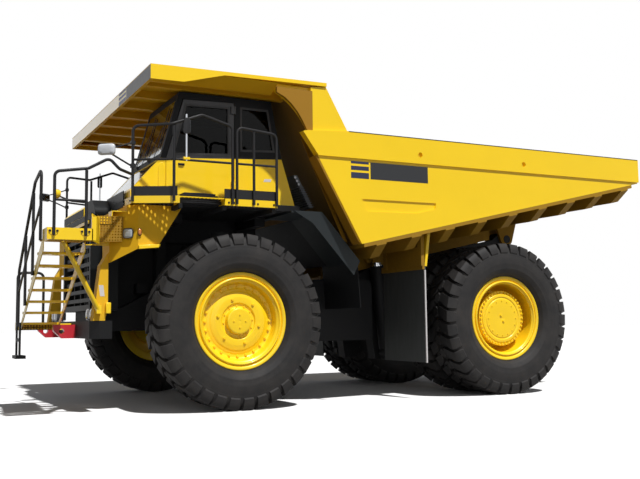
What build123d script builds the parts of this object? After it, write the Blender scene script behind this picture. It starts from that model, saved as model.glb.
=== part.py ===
from build123d import *
import os
from math import atan2, cos, hypot, pi, radians, sin, tan

# A rigid-frame mining dump truck of about 90 tonnes payload, standing empty on its six tyres.
# +X runs forward, +Y to the driver's left, +Z up. The origin lies on the ground under the middle
# of the truck's box. Lengths along the truck are given ahead of the front axle.

# ---- driving dimensions, mm --------------------------------------------------------------------
wheelbase = 4950
front_overhang = 2920  # front axle to the front of the hanging step
tail_overhang = 3035  # rear axle to the tail of the bed
front_axle_x = (wheelbase + tail_overhang - front_overhang) / 2

tyre_radius = 1310
tyre_width = 750
front_tread = 4325
rear_tread = 3500  # between the middles of the two pairs
dual_spacing = 840
rim_seat_radius = 650
rim_flange_radius = 729
rim_flange_thickness = 36
rim_width = 540  # outside the flanges
rim_inner_radius = 590
hub_radius = 490
hub_cap_radius = 180
hub_cap_y = 200  # outside of the wheel's middle
spindle_radius = 150
rear_spindle_radius = 210
running_gap = 0.3  # a pin, shaft or rod in its bore
moving_gap = 6  # between bodies that pass each other

kingpin_y = 1560
rail_inner_y = 450
rail_outer_y = 690
rail_low_z = 1180
rail_top_z = 1780
rail_front_x = 1790  # the bumper's back face
rail_nose_z = 1500  # the rails' low top under the radiator

bumper_depth = 290
bumper_half_width = 1900
bumper_low_z = 1080
bumper_top_z = 1340

deck_top_z = 3100
deck_thickness = 100
deck_half_width = 2650
deck_front_x = 1650
deck_corner_x = 1026
deck_corner_y = 2365
deck_side_end_x = -500
deck_rear_x = -1060
toe_height = 140
toe_thickness = 14

hood_front_x = 1930
hood_half_width = 1057
hood_top_z = 3190

cab_right_y = 560
cab_left_y = 2120
cab_wall = 66
cab_floor_z = 3120
glass_thickness = 12
door_gap = 8

stair_low_z = 1331
stair_rise = 162
stair_run = 254
stair_steps = 7
stair_foot_y = 520
stair_near_x = 2280
stair_far_x = 2850
platform_z = 2465
platform_inner_y = 1900
platform_outer_y = deck_half_width
platform_rear_x = 2116

rail_tube_radius = 21
infill_tube_radius = 17  # middle rails and posts between the bent hoops
rail_height = 1010

hinge_x = -wheelbase - 1450  # tipping pin, ahead of the front axle
hinge_z = 2890
hinge_pin_radius = 78
bed_half_width = 2740
bed_panel_y = bed_half_width - 28
bed_inner_y = bed_half_width - 140
bed_front_x = -1919
bed_front_z = 2492
bed_rail_proud = 15
bed_tail_x = bed_rail_proud - wheelbase - tail_overhang
bed_floor_angle = 12.4
bed_floor_thickness = 130
bolster_depth = 270
bolster_width = 190
bolster_count = 9
runner_depth = 250
bed_rail_low_z = 3842
bed_rail_top_z = 4265
canopy_front_x = 1487
canopy_rear_x = -1316
canopy_front_z = 4951
canopy_rear_z = canopy_front_z + 41
headboard_top_z = canopy_front_z - 61
canopy_plate = 56
canopy_lip = 215
canopy_ribs = 7
canopy_rib_spacing = 700

hoist_y = 890
hoist_low = (1500 - wheelbase, 700)  # x ahead of the front axle, z
hoist_high = (1700 - wheelbase, 2450)
barrel_radius = 132
sleeve_radius = 106
rod_radius = 80
hoist_pin_radius = 60
hoist_eye_radius = 112
hoist_eye_width = 170

os.makedirs("parts", exist_ok=True)


# ---- helpers that add to the part being built ---------------------------------------------------
def ahead(x):
    """Turns a distance ahead of the front axle into X."""
    return front_axle_x + x


def block(x, y, z, mode=Mode.ADD):
    """A box between (low, high) pairs; x is given ahead of the front axle."""
    middle = (ahead((x[0] + x[1]) / 2), (y[0] + y[1]) / 2, (z[0] + z[1]) / 2)
    with Locations(middle):
        Box(abs(x[1] - x[0]), abs(y[1] - y[0]), abs(z[1] - z[0]), mode=mode)


def side_slab(points, y, mode=Mode.ADD):
    """A plate with its outline in the XZ plane, filling the stretch between two Y values."""
    with BuildSketch(Plane.XZ.offset(-max(y))) as outline:
        with BuildLine():
            Polyline(*[(ahead(x), z) for x, z in points], close=True)
        make_face()
    extrude(outline.sketch, amount=abs(y[1] - y[0]), mode=mode)


def flat_slab(points, z, mode=Mode.ADD):
    """A plate with its outline in the XY plane, between two heights."""
    with BuildSketch(Plane.XY.offset(min(z))) as outline:
        with BuildLine():
            Polyline(*[(ahead(x), y) for x, y in points], close=True)
        make_face()
    extrude(outline.sketch, amount=abs(z[1] - z[0]), mode=mode)


def front_slab(points, x, mode=Mode.ADD):
    """A plate with its outline in the YZ plane, between two stations along the truck."""
    with BuildSketch(Plane.YZ.offset(ahead(min(x)))) as outline:
        with BuildLine():
            Polyline(*points, close=True)
        make_face()
    extrude(outline.sketch, amount=abs(x[1] - x[0]), mode=mode)


def bar(start, end, radius, mode=Mode.ADD):
    """A round bar between two points given as (ahead of the front axle, y, z)."""
    a = Vector(ahead(start[0]), start[1], start[2])
    b = Vector(ahead(end[0]), end[1], end[2])
    with Locations(Plane(origin=a, z_dir=b - a).location):
        Cylinder(radius, (b - a).length, align=(Align.CENTER, Align.CENTER, Align.MIN), mode=mode)


def rail_pipe(points, bend=90, radius=rail_tube_radius):
    """A handrail: one round tube bent where its line turns."""
    with BuildLine() as line:
        FilletPolyline(*[(ahead(x), y, z) for x, y, z in points], radius=bend)
    with BuildSketch(Plane(origin=line.line @ 0, z_dir=line.line % 0)) as ring:
        Circle(radius)
    sweep(ring.sketch, path=line.line)


def save(piece, label):
    """Labels a finished piece and writes it as its own STEP file."""
    piece.part.label = label
    export_step(piece.part, f"parts/{label}.step")


def mirrored(y, side):
    """A (low, high) pair of Y values on the left, or its mirror image on the right."""
    return tuple(sorted((side * y[0], side * y[1])))


sides = (("left", 1), ("right", -1))


def bed_line(x):
    """Height of the side panel's lower edge at a station along the truck."""
    return bed_front_z + (bed_front_x - x) * tan(radians(bed_floor_angle))


axle_nose_x = -wheelbase + 620  # the driving flange on the rear axle
flap_x = tyre_radius + 396 - wheelbase  # the rock guards ahead of the rear tyres
flap_inner_y = 1196

# ---- chassis ------------------------------------------------------------------------------------
runner_low = bolster_depth + runner_depth  # below the panel's lower edge
pad_thickness = 24
rear_frame_top = runner_low + pad_thickness + running_gap
rail_rise_x = 1800 - wheelbase
rail_outline = [
    (rail_front_x, rail_low_z),
    (rail_front_x, rail_nose_z),
    (1440, rail_nose_z),
    (900, rail_top_z),
    (-2300, rail_top_z),
    (rail_rise_x, bed_line(rail_rise_x) - rear_frame_top),
    (hinge_x + 320, bed_line(hinge_x + 320) - rear_frame_top),
    (hinge_x + 150, hinge_z + 120),
    (hinge_x - 150, hinge_z + 120),
    (hinge_x - 150, hinge_z - 150),
    (hinge_x + 250, 2430),
    (550 - wheelbase, 1980),
    (1200 - wheelbase, 1480),
    (1650 - wheelbase, rail_low_z),
]
ear_thickness = 55
strut_radius = 165
hoist_bracket = [(hoist_low[0] + dx, z) for dx, z in
                 ((-270, 1450), (210, 1450), (210, 1150), (130, 600), (-130, 600), (-310, 1150))]
with BuildPart() as main_frame:
    for name, side in sides:
        side_slab(rail_outline, mirrored((rail_inner_y, rail_outer_y), side))
    # cross members, from the front to the tail
    block((1480, rail_front_x), (-rail_inner_y, rail_inner_y), (1220, rail_nose_z))
    block((-1750, -1450), (-rail_inner_y, rail_inner_y), (1250, 1700))
    for x, z, radius in ((1600 - wheelbase, 1700, 170), (hinge_x + 450, 2600, 150)):
        bar((x, -rail_inner_y, z), (x, rail_inner_y, z), radius)
    for name, side in sides:
        # horns that carry the front suspension
        block((-240, 240), mirrored((rail_outer_y, kingpin_y - 100), side), (1880, 2560))
        block((-300, 300), mirrored((rail_inner_y, rail_outer_y + 60), side), (rail_top_z, 2560))
        bar((0, side * kingpin_y, rail_low_z), (0, side * kingpin_y, 2800), strut_radius, mode=Mode.SUBTRACT)
        # foot pins and brackets of the hoists
        bar((hoist_low[0], side * rail_inner_y, hoist_low[1]),
            (hoist_low[0], side * (hoist_y + hoist_eye_width / 2), hoist_low[1]), hoist_pin_radius)
        side_slab(hoist_bracket, mirrored((rail_inner_y, rail_outer_y), side))
        # tipping pins, and the rubber pads that the bed lies on
        bar((hinge_x, side * (rail_inner_y - ear_thickness - 20), hinge_z),
            (hinge_x, side * (rail_outer_y + ear_thickness + 20), hinge_z), hinge_pin_radius)
        for x in (rail_rise_x - 250, rail_rise_x - 1150, rail_rise_x - 2050):
            side_slab([(x, bed_line(x) - runner_low - running_gap),
                       (x - 420, bed_line(x - 420) - runner_low - running_gap),
                       (x - 420, bed_line(x - 420) - rear_frame_top - 5),
                       (x, bed_line(x) - rear_frame_top - 5)],
                      mirrored((rail_inner_y + 20, rail_outer_y - 20), side))
save(main_frame, "main_frame")

bumper_front_x = rail_front_x + bumper_depth
with BuildPart() as front_bumper:
    flat_slab([(rail_front_x, -bumper_half_width), (bumper_front_x - 110, -bumper_half_width),
               (bumper_front_x, -bumper_half_width + 170), (bumper_front_x, bumper_half_width - 170),
               (bumper_front_x - 110, bumper_half_width), (rail_front_x, bumper_half_width)],
              (bumper_low_z, bumper_top_z))
save(front_bumper, "front_bumper")

hook_y = 700
hook_thickness = 110
hook_reach = 323
hook_bore_radius = 40
hook_top_z = 1290
hook_bore_z = 1190
with BuildPart() as tow_hooks:
    for name, side in sides:
        side_slab([(bumper_front_x, bumper_low_z), (bumper_front_x + hook_reach - 120, bumper_low_z),
                   (bumper_front_x + hook_reach, bumper_low_z + 110),
                   (bumper_front_x + hook_reach, hook_top_z), (bumper_front_x, hook_top_z)],
                  (side * hook_y - hook_thickness / 2, side * hook_y + hook_thickness / 2))
        bar((bumper_front_x + 205, side * hook_y - hook_thickness, hook_bore_z),
            (bumper_front_x + 205, side * hook_y + hook_thickness, hook_bore_z), hook_bore_radius,
            mode=Mode.SUBTRACT)
save(tow_hooks, "tow_hooks")

with BuildPart() as powertrain:
    # the engine as one block on its feet, the gearbox, and the shaft to the rear axle
    block((-700, 1350), (-430, 430), (1560, 2820))
    for x in (-500, 1000):
        block((x - 90, x + 90), (-rail_outer_y + 60, rail_outer_y - 60), (rail_top_z, rail_top_z + 160))
    block((-2700, -2050), (-380, 380), (1180, 1840))
    for x in (-2600, -2150):
        block((x - 50, x + 50), (-rail_inner_y, rail_inner_y), (1420, 1560))
    bar((-2700, 0, 1340), (axle_nose_x, 0, 1340), 85)
save(powertrain, "powertrain")

# ---- front suspension and steering --------------------------------------------------------------
strut_low_z = 1860
knuckle_radius = 150
arm_top_z = 985
wheel_y = front_tread / 2
axle_tube_radius = 330
strut_y = 822
rear_strut_x = -wheelbase - 530
with BuildPart() as suspension:
    for name, side in sides:
        # front: the strut that is also the kingpin, and the arm below it
        bar((0, side * kingpin_y, strut_low_z), (0, side * kingpin_y, 2700), strut_radius)
        flat_slab([(430, side * (rail_outer_y - 60)), (520, side * (rail_outer_y - 60)),
                   (110, side * (kingpin_y + 40)),
                   (-110, side * (kingpin_y + 40)), (-520, side * (rail_outer_y - 60)),
                   (-430, side * (rail_outer_y - 60)), (0, side * (kingpin_y - 330))],
                  (arm_top_z - 110, arm_top_z))
        for x in (-475, 475):
            block((x - 45, x + 45), mirrored((rail_outer_y - 60, rail_outer_y - 10), side),
                  (arm_top_z, rail_low_z))
        bar((0, side * kingpin_y, arm_top_z - 10), (0, side * kingpin_y, arm_top_z + 90), 60)
        # rear: a strut from the frame down to the axle
        bar((rear_strut_x, side * strut_y, 1560), (rear_strut_x, side * strut_y, 2430), 105)
        block((rear_strut_x - 110, rear_strut_x + 110), mirrored((rail_outer_y, strut_y + 60), side),
              (2480, 2620))
        bar((rear_strut_x, side * strut_y, 2400), (rear_strut_x, side * strut_y, 2500), 80)
        bar((rear_strut_x, side * strut_y, 1360), (rear_strut_x, side * strut_y, 1570), 80)
        block((rear_strut_x - 120, -wheelbase - 250), mirrored((strut_y - 70, strut_y + 70), side),
              (1270, 1400))
        bar((-wheelbase, 0, tyre_radius), (-wheelbase, side * 1400, tyre_radius), axle_tube_radius,
            mode=Mode.SUBTRACT)
save(suspension, "suspension")

hub_inner = 130  # from the wheel's middle back to the hub's inner face
spindle_reach = 130
for name, side in sides:
    with BuildPart() as knuckle:
        bar((0, side * kingpin_y, arm_top_z + running_gap),
            (0, side * kingpin_y, strut_low_z - running_gap), knuckle_radius)
        bar((0, side * kingpin_y, tyre_radius), (0, side * (wheel_y - hub_inner - 6), tyre_radius), 235)
        bar((0, side * (kingpin_y + 30), tyre_radius), (0, side * (wheel_y + spindle_reach), tyre_radius),
            spindle_radius)
        block((-520, -60), mirrored((kingpin_y - 90, kingpin_y), side), (1130, 1210))
        bar((0, side * kingpin_y, arm_top_z - 20), (0, side * kingpin_y, arm_top_z + 90 + running_gap),
            60 + running_gap,
            mode=Mode.SUBTRACT)
    save(knuckle, f"knuckle_{name}")

# ---- wheels -------------------------------------------------------------------------------------
half_rim = rim_width / 2
bead_half = half_rim - rim_flange_thickness


lug_count = 34
seat_facets = 12
groove_share = 0.36  # of a lug's pitch
groove_depth = 72
wall_radius = 1000  # where the wall bulges furthest
wall_half = tyre_width / 2
tread_half = wall_half - 35
groove_radius = tyre_radius - groove_depth
groove_share_out = (groove_radius - wall_radius) / (tyre_radius - wall_radius)
groove_half = wall_half - (wall_half - tread_half) * groove_share_out
bead_radius = rim_flange_radius + 8


def on_facet(index, across, height, y, facets=lug_count):
    """A point of the tyre, from its place across one flat facet, the facet's height over the axle, and y."""
    turn = 2 * pi * index / facets
    return Vector(height * sin(turn) + across * cos(turn), y, across * sin(turn) - height * cos(turn))


def facet_ring(radius, y, facets=lug_count):
    """The closed polygon of a ring of facets that lie at one height over the axle."""
    half = radius * tan(pi / facets)
    return Wire.make_polygon([on_facet(index, half, radius, y, facets) for index in range(facets)])


def lugged_tyre():
    """A tyre of flat facets, one lug to a facet; the grooves run out on the tread's middle line."""
    slant = tan(pi / lug_count)
    lug_end = tyre_radius * slant * (1 - 2 * groove_share)
    crown = (tyre_radius * slant, tyre_radius, 0)
    faces = []
    for index in range(lug_count):
        for side in (-1, 1):
            left, right = (
                [(sign * radius * slant, radius, side * half) for radius, half in
                 ((bead_radius, bead_half), (wall_radius, wall_half), (groove_radius, groove_half),
                  (tyre_radius, tread_half))] for sign in (-1, 1))
            lug_foot = (lug_end, groove_radius, side * groove_half)
            lug_edge = (lug_end, tyre_radius, side * tread_half)
            for outline in ([left[0], right[0], right[1], left[1]],
                            [left[1], right[1], right[2], lug_foot, lug_edge, left[3], left[2]],
                            [(lug_end, tyre_radius, 0), crown, right[2], lug_foot],
                            [(lug_end, tyre_radius, 0), lug_edge, lug_foot],
                            [(-crown[0], tyre_radius, 0), left[3], left[2]]):
                faces.append(Face(Wire.make_polygon([on_facet(index, *point) for point in outline])))
        lug_top = [(across, tyre_radius, y) for across, y in
                   ((-crown[0], 0), (-crown[0], tread_half), (lug_end, tread_half), (lug_end, 0),
                    (lug_end, -tread_half), (-crown[0], -tread_half))]
        faces.append(Face(Wire.make_polygon([on_facet(index, *point) for point in lug_top])))
    for y in (-bead_half, bead_half):
        faces.append(Face(facet_ring(bead_radius, y), [facet_ring(rim_seat_radius, y, seat_facets)]))
    seat_half = rim_seat_radius * tan(pi / seat_facets)
    for index in range(seat_facets):
        corners = ((-seat_half, -bead_half), (seat_half, -bead_half), (seat_half, bead_half),
                   (-seat_half, bead_half))
        faces.append(Face(Wire.make_polygon([on_facet(index, across, rim_seat_radius, y, seat_facets)
                                             for across, y in corners])))
    return Solid(Shell(faces))


one_tyre = lugged_tyre()


def tyre_ring(middle_y, centre_x):
    """One tyre, seated between the rim's flanges."""
    add(one_tyre.moved(Location((ahead(centre_x), middle_y, tyre_radius))))


def wheel_turning(points, side, centre_x):
    """A turned piece: (radius, outward Y) corners revolved about the axle line."""
    with BuildSketch(Plane.XY) as section:
        with BuildLine():
            Polyline(*[(radius, side * y) for radius, y in points], close=True)
        make_face()
    turned = revolve(section.sketch, axis=Axis.Y, mode=Mode.PRIVATE)
    add(turned.moved(Location((ahead(centre_x), 0, tyre_radius))))


front_hub_bore = spindle_radius + running_gap
for name, side in sides:
    m = wheel_y
    with BuildPart() as front_rim:
        wheel_turning([
            (front_hub_bore, m - hub_inner), (hub_radius - 60, m - hub_inner), (hub_radius - 60, m + 40),
            (rim_inner_radius, m + 40), (rim_inner_radius, m - half_rim), (rim_flange_radius, m - half_rim),
            (rim_flange_radius, m - bead_half), (rim_seat_radius, m - bead_half),
            (rim_seat_radius, m + bead_half), (rim_flange_radius, m + bead_half), (rim_flange_radius, m + half_rim),
            (rim_inner_radius, m + half_rim), (rim_inner_radius - 40, m + 100), (hub_radius, m + 100),
            (hub_radius - 20, m + 115), (hub_cap_radius, m + 115), (hub_cap_radius - 10, m + hub_cap_y),
            (0, m + hub_cap_y), (0, m + spindle_reach + moving_gap),
            (front_hub_bore, m + spindle_reach + moving_gap),
        ], side, 0)
    save(front_rim, f"rim_front_{name}")
    with BuildPart() as front_tyre:
        tyre_ring(side * m, 0)
    save(front_tyre, f"tyre_front_{name}")

dual_y = rear_tread / 2
inner_dual = dual_y - dual_spacing / 2
outer_dual = dual_y + dual_spacing / 2
rear_hub_bore = rear_spindle_radius + running_gap
rear_hub_inner = 1480
rear_hub_outer = 2330
for name, side in sides:
    with BuildPart() as rear_rim:
        wheel_turning([
            (rear_hub_bore, rear_hub_inner), (hub_radius - 40, rear_hub_inner), (hub_radius, dual_y - 110),
            (rim_inner_radius, dual_y - 110), (rim_inner_radius, inner_dual - half_rim),
            (rim_flange_radius, inner_dual - half_rim), (rim_flange_radius, inner_dual - bead_half),
            (rim_seat_radius, inner_dual - bead_half), (rim_seat_radius, inner_dual + bead_half),
            (rim_flange_radius, inner_dual + bead_half), (rim_flange_radius, inner_dual + half_rim),
            (rim_seat_radius - 10, inner_dual + half_rim), (rim_seat_radius - 10, outer_dual - half_rim),
            (rim_flange_radius, outer_dual - half_rim), (rim_flange_radius, outer_dual - bead_half),
            (rim_seat_radius, outer_dual - bead_half), (rim_seat_radius, outer_dual + bead_half),
            (rim_flange_radius, outer_dual + bead_half), (rim_flange_radius, outer_dual + half_rim),
            (rim_inner_radius, outer_dual + half_rim), (rim_inner_radius - 30, dual_y), (hub_radius, dual_y),
            (hub_radius, rear_hub_outer - 60), (hub_radius - 50, rear_hub_outer), (0, rear_hub_outer),
            (0, 2010), (rear_hub_bore, 2010),
        ], side, -wheelbase)
    save(rear_rim, f"rims_rear_{name}")
    with BuildPart() as rear_tyres:
        for middle in (inner_dual, outer_dual):
            tyre_ring(side * middle, -wheelbase)
    save(rear_tyres, f"tyres_rear_{name}")

# ---- rear axle ----------------------------------------------------------------------------------
with BuildPart() as rear_axle:
    bar((-wheelbase, -rear_hub_inner + 12, tyre_radius), (-wheelbase, rear_hub_inner - 12, tyre_radius),
        axle_tube_radius)
    bar((-wheelbase, -2000, tyre_radius), (-wheelbase, 2000, tyre_radius), rear_spindle_radius)
    with Locations((ahead(-wheelbase), 0, tyre_radius)):
        Sphere(500)
    bar((-wheelbase + 400, 0, 1340), (axle_nose_x, 0, 1340), 190)
    # the arms that run forward to the frame's cross tube
    for name, side in sides:
        arm_front_x = 1430 - wheelbase - running_gap
        side_slab([(150 - wheelbase, 1500), (190 - wheelbase, 1160), (arm_front_x, 1600), (arm_front_x, 1800),
                   (arm_front_x - 180, 1800)], mirrored((250, 380), side))
save(rear_axle, "rear_axle")

# ---- tanks beside the frame ---------------------------------------------------------------------
with BuildPart() as side_tanks:
    # fuel on the left, hydraulic oil on the right
    for name, side in sides:
        block((hoist_low[0] + 470, -1800), mirrored((rail_outer_y, flap_inner_y - 2 * moving_gap), side),
              (960, 2010))
    fillet(side_tanks.edges().filter_by(Axis.Y), 90)
save(side_tanks, "side_tanks")

# ---- radiator, hood and decks -------------------------------------------------------------------
grille_low_z = rail_nose_z
grille_top_z = hood_top_z - 190
shell_wall = 90
grille_clear = (-hood_half_width + shell_wall, hood_half_width - shell_wall)
with BuildPart() as radiator_grille:
    # the shell, the bars, and the core behind them
    block((1500, hood_front_x), (-hood_half_width, hood_half_width), (grille_low_z, grille_top_z))
    block((1560, hood_front_x + 1), grille_clear, (grille_low_z + shell_wall, grille_top_z - shell_wall),
          mode=Mode.SUBTRACT)
    bar_pitch = 140
    for row in range(int((grille_top_z - grille_low_z - 2 * shell_wall) / bar_pitch)):
        z = grille_low_z + shell_wall + 50 + row * bar_pitch
        block((1850, 1890), grille_clear, (z, z + 60))
    for y in (-500, 0, 500):
        block((1800, 1850), (y - 20, y + 20), (grille_low_z + shell_wall, grille_top_z - shell_wall))
    block((1560, 1700), grille_clear, (grille_low_z + shell_wall, grille_top_z - shell_wall))
save(radiator_grille, "radiator_grille")

with BuildPart() as hood:
    side_slab([(-1000, grille_top_z), (hood_front_x, grille_top_z), (hood_front_x, hood_top_z - 60),
               (hood_front_x - 60, hood_top_z), (-1000, hood_top_z)], (-hood_half_width, cab_right_y - 20))
save(hood, "hood")

deck_low_z = deck_top_z - deck_thickness
deck_beam_reach = 1500
with BuildPart() as decks:
    for name, side in sides:
        inner = cab_right_y - 20 if side > 0 else hood_half_width
        flat_slab([(deck_front_x, side * inner), (deck_front_x, side * deck_corner_y),
                   (deck_corner_x, side * deck_half_width), (deck_side_end_x, side * deck_half_width),
                   (deck_rear_x, side * 2260), (deck_rear_x, side * inner)], (deck_low_z, deck_top_z))
    # cross beams, and the posts that carry them from the frame
    for x in (-700, 700):
        block((x - 90, x + 90), (-deck_beam_reach, deck_beam_reach), (deck_low_z - 150, deck_low_z))
        for name, side in sides:
            block((x - 80, x + 80), mirrored((rail_inner_y + 20, rail_outer_y - 20), side),
                  (rail_top_z, deck_low_z - 150))
save(decks, "decks")

with BuildPart() as toe_boards:
    for name, side in sides:
        inner = 900 if side > 0 else hood_half_width
        flat_slab([(deck_front_x - toe_thickness, side * 1900), (deck_front_x, side * 1900),
                   (deck_front_x, side * inner), (deck_front_x - toe_thickness, side * inner)],
                  (deck_top_z, deck_top_z + toe_height))
        flat_slab([(deck_front_x, side * deck_corner_y), (deck_corner_x + 30, side * (deck_half_width - 14)),
                   (deck_corner_x + 30, side * (deck_half_width - 14 - toe_thickness)),
                   (deck_front_x, side * (deck_corner_y - toe_thickness))],
                   (deck_top_z, deck_top_z + toe_height))
        block((deck_side_end_x, 346), mirrored((deck_half_width - toe_thickness, deck_half_width), side),
              (deck_top_z, deck_top_z + toe_height))
save(toe_boards, "toe_boards")

# ---- fenders and braces -------------------------------------------------------------------------
fender_y = 2250
fender_plate = 40
fender_corner_x = 1515  # where the side turns in towards the stairs
fender_front_x = 1850
fender_top_z = 2900
fender_cut = [(750, 2100), (fender_front_x + 10, 2100), (fender_front_x + 10, 2165), (1773, 2213),
              (fender_corner_x, 2363), (1232, 2388), (857, deck_low_z), (750, deck_low_z)]
fender_turn = fender_front_x - fender_corner_x  # the corner is cut off at 45 degrees
with BuildPart() as fenders:
    for name, side in sides:
        flat_slab([(750, side * fender_y), (fender_corner_x, side * fender_y),
                   (fender_front_x, side * (fender_y - fender_turn)), (fender_front_x, side * 1500),
                   (fender_front_x - fender_plate, side * 1500),
                   (fender_front_x - fender_plate, side * (fender_y - fender_turn - 17)),
                   (fender_corner_x - 17, side * (fender_y - fender_plate)),
                   (750, side * (fender_y - fender_plate))],
                  (2110, deck_low_z))
        side_slab(fender_cut, mirrored((1490, fender_y + 10), side), mode=Mode.SUBTRACT)
        block((deck_front_x, fender_front_x + 10), mirrored((1490, fender_y + 10), side),
              (fender_top_z, deck_low_z + 10), mode=Mode.SUBTRACT)
        # the hanger under the deck's front edge
        block((1560, fender_front_x - fender_plate), mirrored((1500, 1900), side),
              (fender_top_z - 40, fender_top_z))
        block((1560, 1640), mirrored((1500, fender_y - 90), side), (fender_top_z - 40, deck_low_z))
save(fenders, "fenders")

with BuildPart() as fender_braces:
    for name, side in sides:
        side_slab([(2060, bumper_top_z), (1890, bumper_top_z), (1850, 1560), (1850, 2330), (1960, 2140)],
                  mirrored((1680, 1880), side))
save(fender_braces, "fender_braces")

# ---- front platform and stairs ------------------------------------------------------------------
stair_slope = stair_rise / stair_run
stair_top_y = stair_foot_y + stair_run * stair_steps
stringer = [(-100, stair_low_z - 120), (stair_foot_y - 80, stair_low_z - 120),
            (stair_top_y + 60, platform_z - 170), (stair_top_y + 60, platform_z - 40),
            (stair_top_y - 60, platform_z - 40), (stair_foot_y, stair_low_z), (-100, stair_low_z)]
step_y = (platform_inner_y, platform_outer_y - 546)
with BuildPart() as front_stairs:
    # upper platform with its edge beams, and the two steps from it to the deck
    block((platform_rear_x, stair_far_x), (platform_inner_y, platform_outer_y), (platform_z - 45, platform_z))
    block((platform_rear_x, stair_far_x), (platform_outer_y - 40, platform_outer_y),
          (platform_z - 45, platform_z + 115))
    block((stair_far_x - 40, stair_far_x), (2300, platform_outer_y), (platform_z - 45, platform_z + 115))
    for y in (step_y[0], step_y[1] - 14):
        side_slab([(stair_near_x, platform_z - 45), (platform_rear_x, platform_z - 20),
                   (platform_rear_x, 2880),
                   (1850, 2880), (1850, 2400), (1900, 2280), (1960, 2260)], (y, y + 14))
    block((1850, platform_rear_x), step_y, (2700, 2725))
    block((1650, 1860), step_y, (fender_top_z, fender_top_z + 25))
    block((1850, 1860), step_y, (fender_top_z - 30, fender_top_z + 25))
    block((platform_rear_x - 14, platform_rear_x), step_y, (platform_z - 20, 2725))
    # the stairway, set across the front of the radiator
    for x in (stair_near_x, stair_far_x - 14):
        front_slab(stringer, (x, x + 14))
    block((stair_near_x, stair_far_x), (-100, -86), (stair_low_z - 120, stair_low_z))
    for y in (-60, 400):
        block((bumper_front_x, stair_near_x + 10), (y, y + 40), (stair_low_z - 120, stair_low_z - 20))
    # the stay from the platform down to the brace beside the bumper
    bar((2560, 2240, platform_z - 30), (2000, 1925, 1500), 38)
    block((1960, 2030), (1880, 1960), (1440, 1560))
save(front_stairs, "front_stairs")

tread_depth = 230
with BuildPart() as stair_treads:
    block((stair_near_x + 14, stair_far_x - 14), (-86, stair_foot_y), (stair_low_z - 36, stair_low_z))
    for step in range(1, stair_steps):
        y = stair_foot_y + stair_run * (step - 1)
        z = stair_low_z + stair_rise * step
        block((stair_near_x + 14, stair_far_x - 14), (y + 30, y + 30 + tread_depth), (z - 36, z))
save(stair_treads, "stair_treads")

with BuildPart() as hanging_step:
    for y in (150, 480):
        block((stair_far_x, stair_far_x + 26), (y, y + 70), (800, stair_low_z))
    block((stair_far_x - 76, front_overhang), (150, 550), (780, 830))
    block((stair_far_x, stair_far_x + 26), (220, 480), (1040, 1090))
save(hanging_step, "hanging_step")

# ---- handrails ----------------------------------------------------------------------------------
rail_top = deck_top_z + rail_height
rail_mid = deck_top_z + 520
corner_post = (deck_front_x - 10, deck_corner_y + 28)
edge_rail_y = deck_half_width + rail_tube_radius + running_gap
platform_rail_y = platform_outer_y + rail_tube_radius + running_gap


def post(x, y, foot, line, slope_ratio):
    """An upright tube from its foot to just under a handrail that passes at a height with a slope."""
    slant = hypot(1, slope_ratio)
    top = line - rail_tube_radius * (slant + slope_ratio) - running_gap
    bar((x, y, foot), (x, y, top), rail_tube_radius)


def middle_rail(start, end):
    """A thinner tube between the centre lines of two posts, cut back so that it meets their skins."""
    level = hypot(end[0] - start[0], end[1] - start[1])
    rise = abs(end[2] - start[2])
    cut = (rail_tube_radius + infill_tube_radius * rise / hypot(level, rise) + running_gap) / level
    meet = [tuple(a + (b - a) * share for a, b in zip(start, end)) for share in (cut, 1 - cut)]
    bar(*meet, infill_tube_radius)


with BuildPart() as front_rails:
    x = stair_far_x + rail_tube_radius + running_gap
    rise_ratio = (3310 - 2130) / (1760 - 375)
    rail_pipe([(x, 375, stair_low_z - 60), (x, 375, 2130), (x, 1760, 3310), (x, 2270, 3420),
               (x, 2270, platform_z - 30)])
    stair_posts = ((375, 1800), (1000, 2195), (1650, 2605), (2270, 2930))  # y, height of the middle rail
    for y, _ in stair_posts[1:3]:
        post(x, y, stair_low_z + (y - stair_foot_y) * stair_slope - 60, 2130 + (y - 375) * rise_ratio,
             rise_ratio)
    for (y, z), (next_y, next_z) in zip(stair_posts, stair_posts[1:]):
        middle_rail((x, y, z), (x, next_y, next_z))
    loop_y = -100 - rail_tube_radius - running_gap
    rail_pipe([(stair_near_x + 140, loop_y, 1240), (stair_near_x + 140, loop_y, 2131),
               (stair_far_x - 30, loop_y, 2131), (stair_far_x - 30, loop_y, 1240)])
    y = platform_rail_y
    rail_pipe([(2765, y, 2480), (2765, y, 3330), (2320, y, 3400), (2040, y, 3560), (1900, y, 3420),
               (corner_post[0] + 32, corner_post[1] + 36, 3405)], bend=80)
    post(2345, y, 2480, 3396, 70 / 445)
    middle_rail((2765, y, 2950), (2345, y, 2950))
save(front_rails, "front_rails")

with BuildPart() as deck_rails:
    for name, side in sides:
        y = side * edge_rail_y
        corner = (corner_post[0], side * corner_post[1])
        foot = deck_low_z + 20
        rail_pipe([(corner[0], corner[1], foot), (corner[0], corner[1], rail_top), (1150, y, rail_top + 20),
                   (700, y, rail_top + 190), (230, y, rail_top + 60), (230, y, foot)])
        post(1120, y, foot, rail_top + 31, 170 / 450)
        middle_rail((corner[0], corner[1], rail_mid), (1120, y, rail_mid))
        middle_rail((1120, y, rail_mid), (230, y, rail_mid))
        rail_pipe([(160, y, foot), (160, y, rail_top + 60), (-480, y, rail_top), (-480, y, foot)])
        post(-110, y, foot, rail_top + 35, 60 / 640)
        middle_rail((160, y, rail_mid), (-110, y, rail_mid))
        middle_rail((-110, y, rail_mid), (-480, y, rail_mid))
save(deck_rails, "deck_rails")

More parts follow.
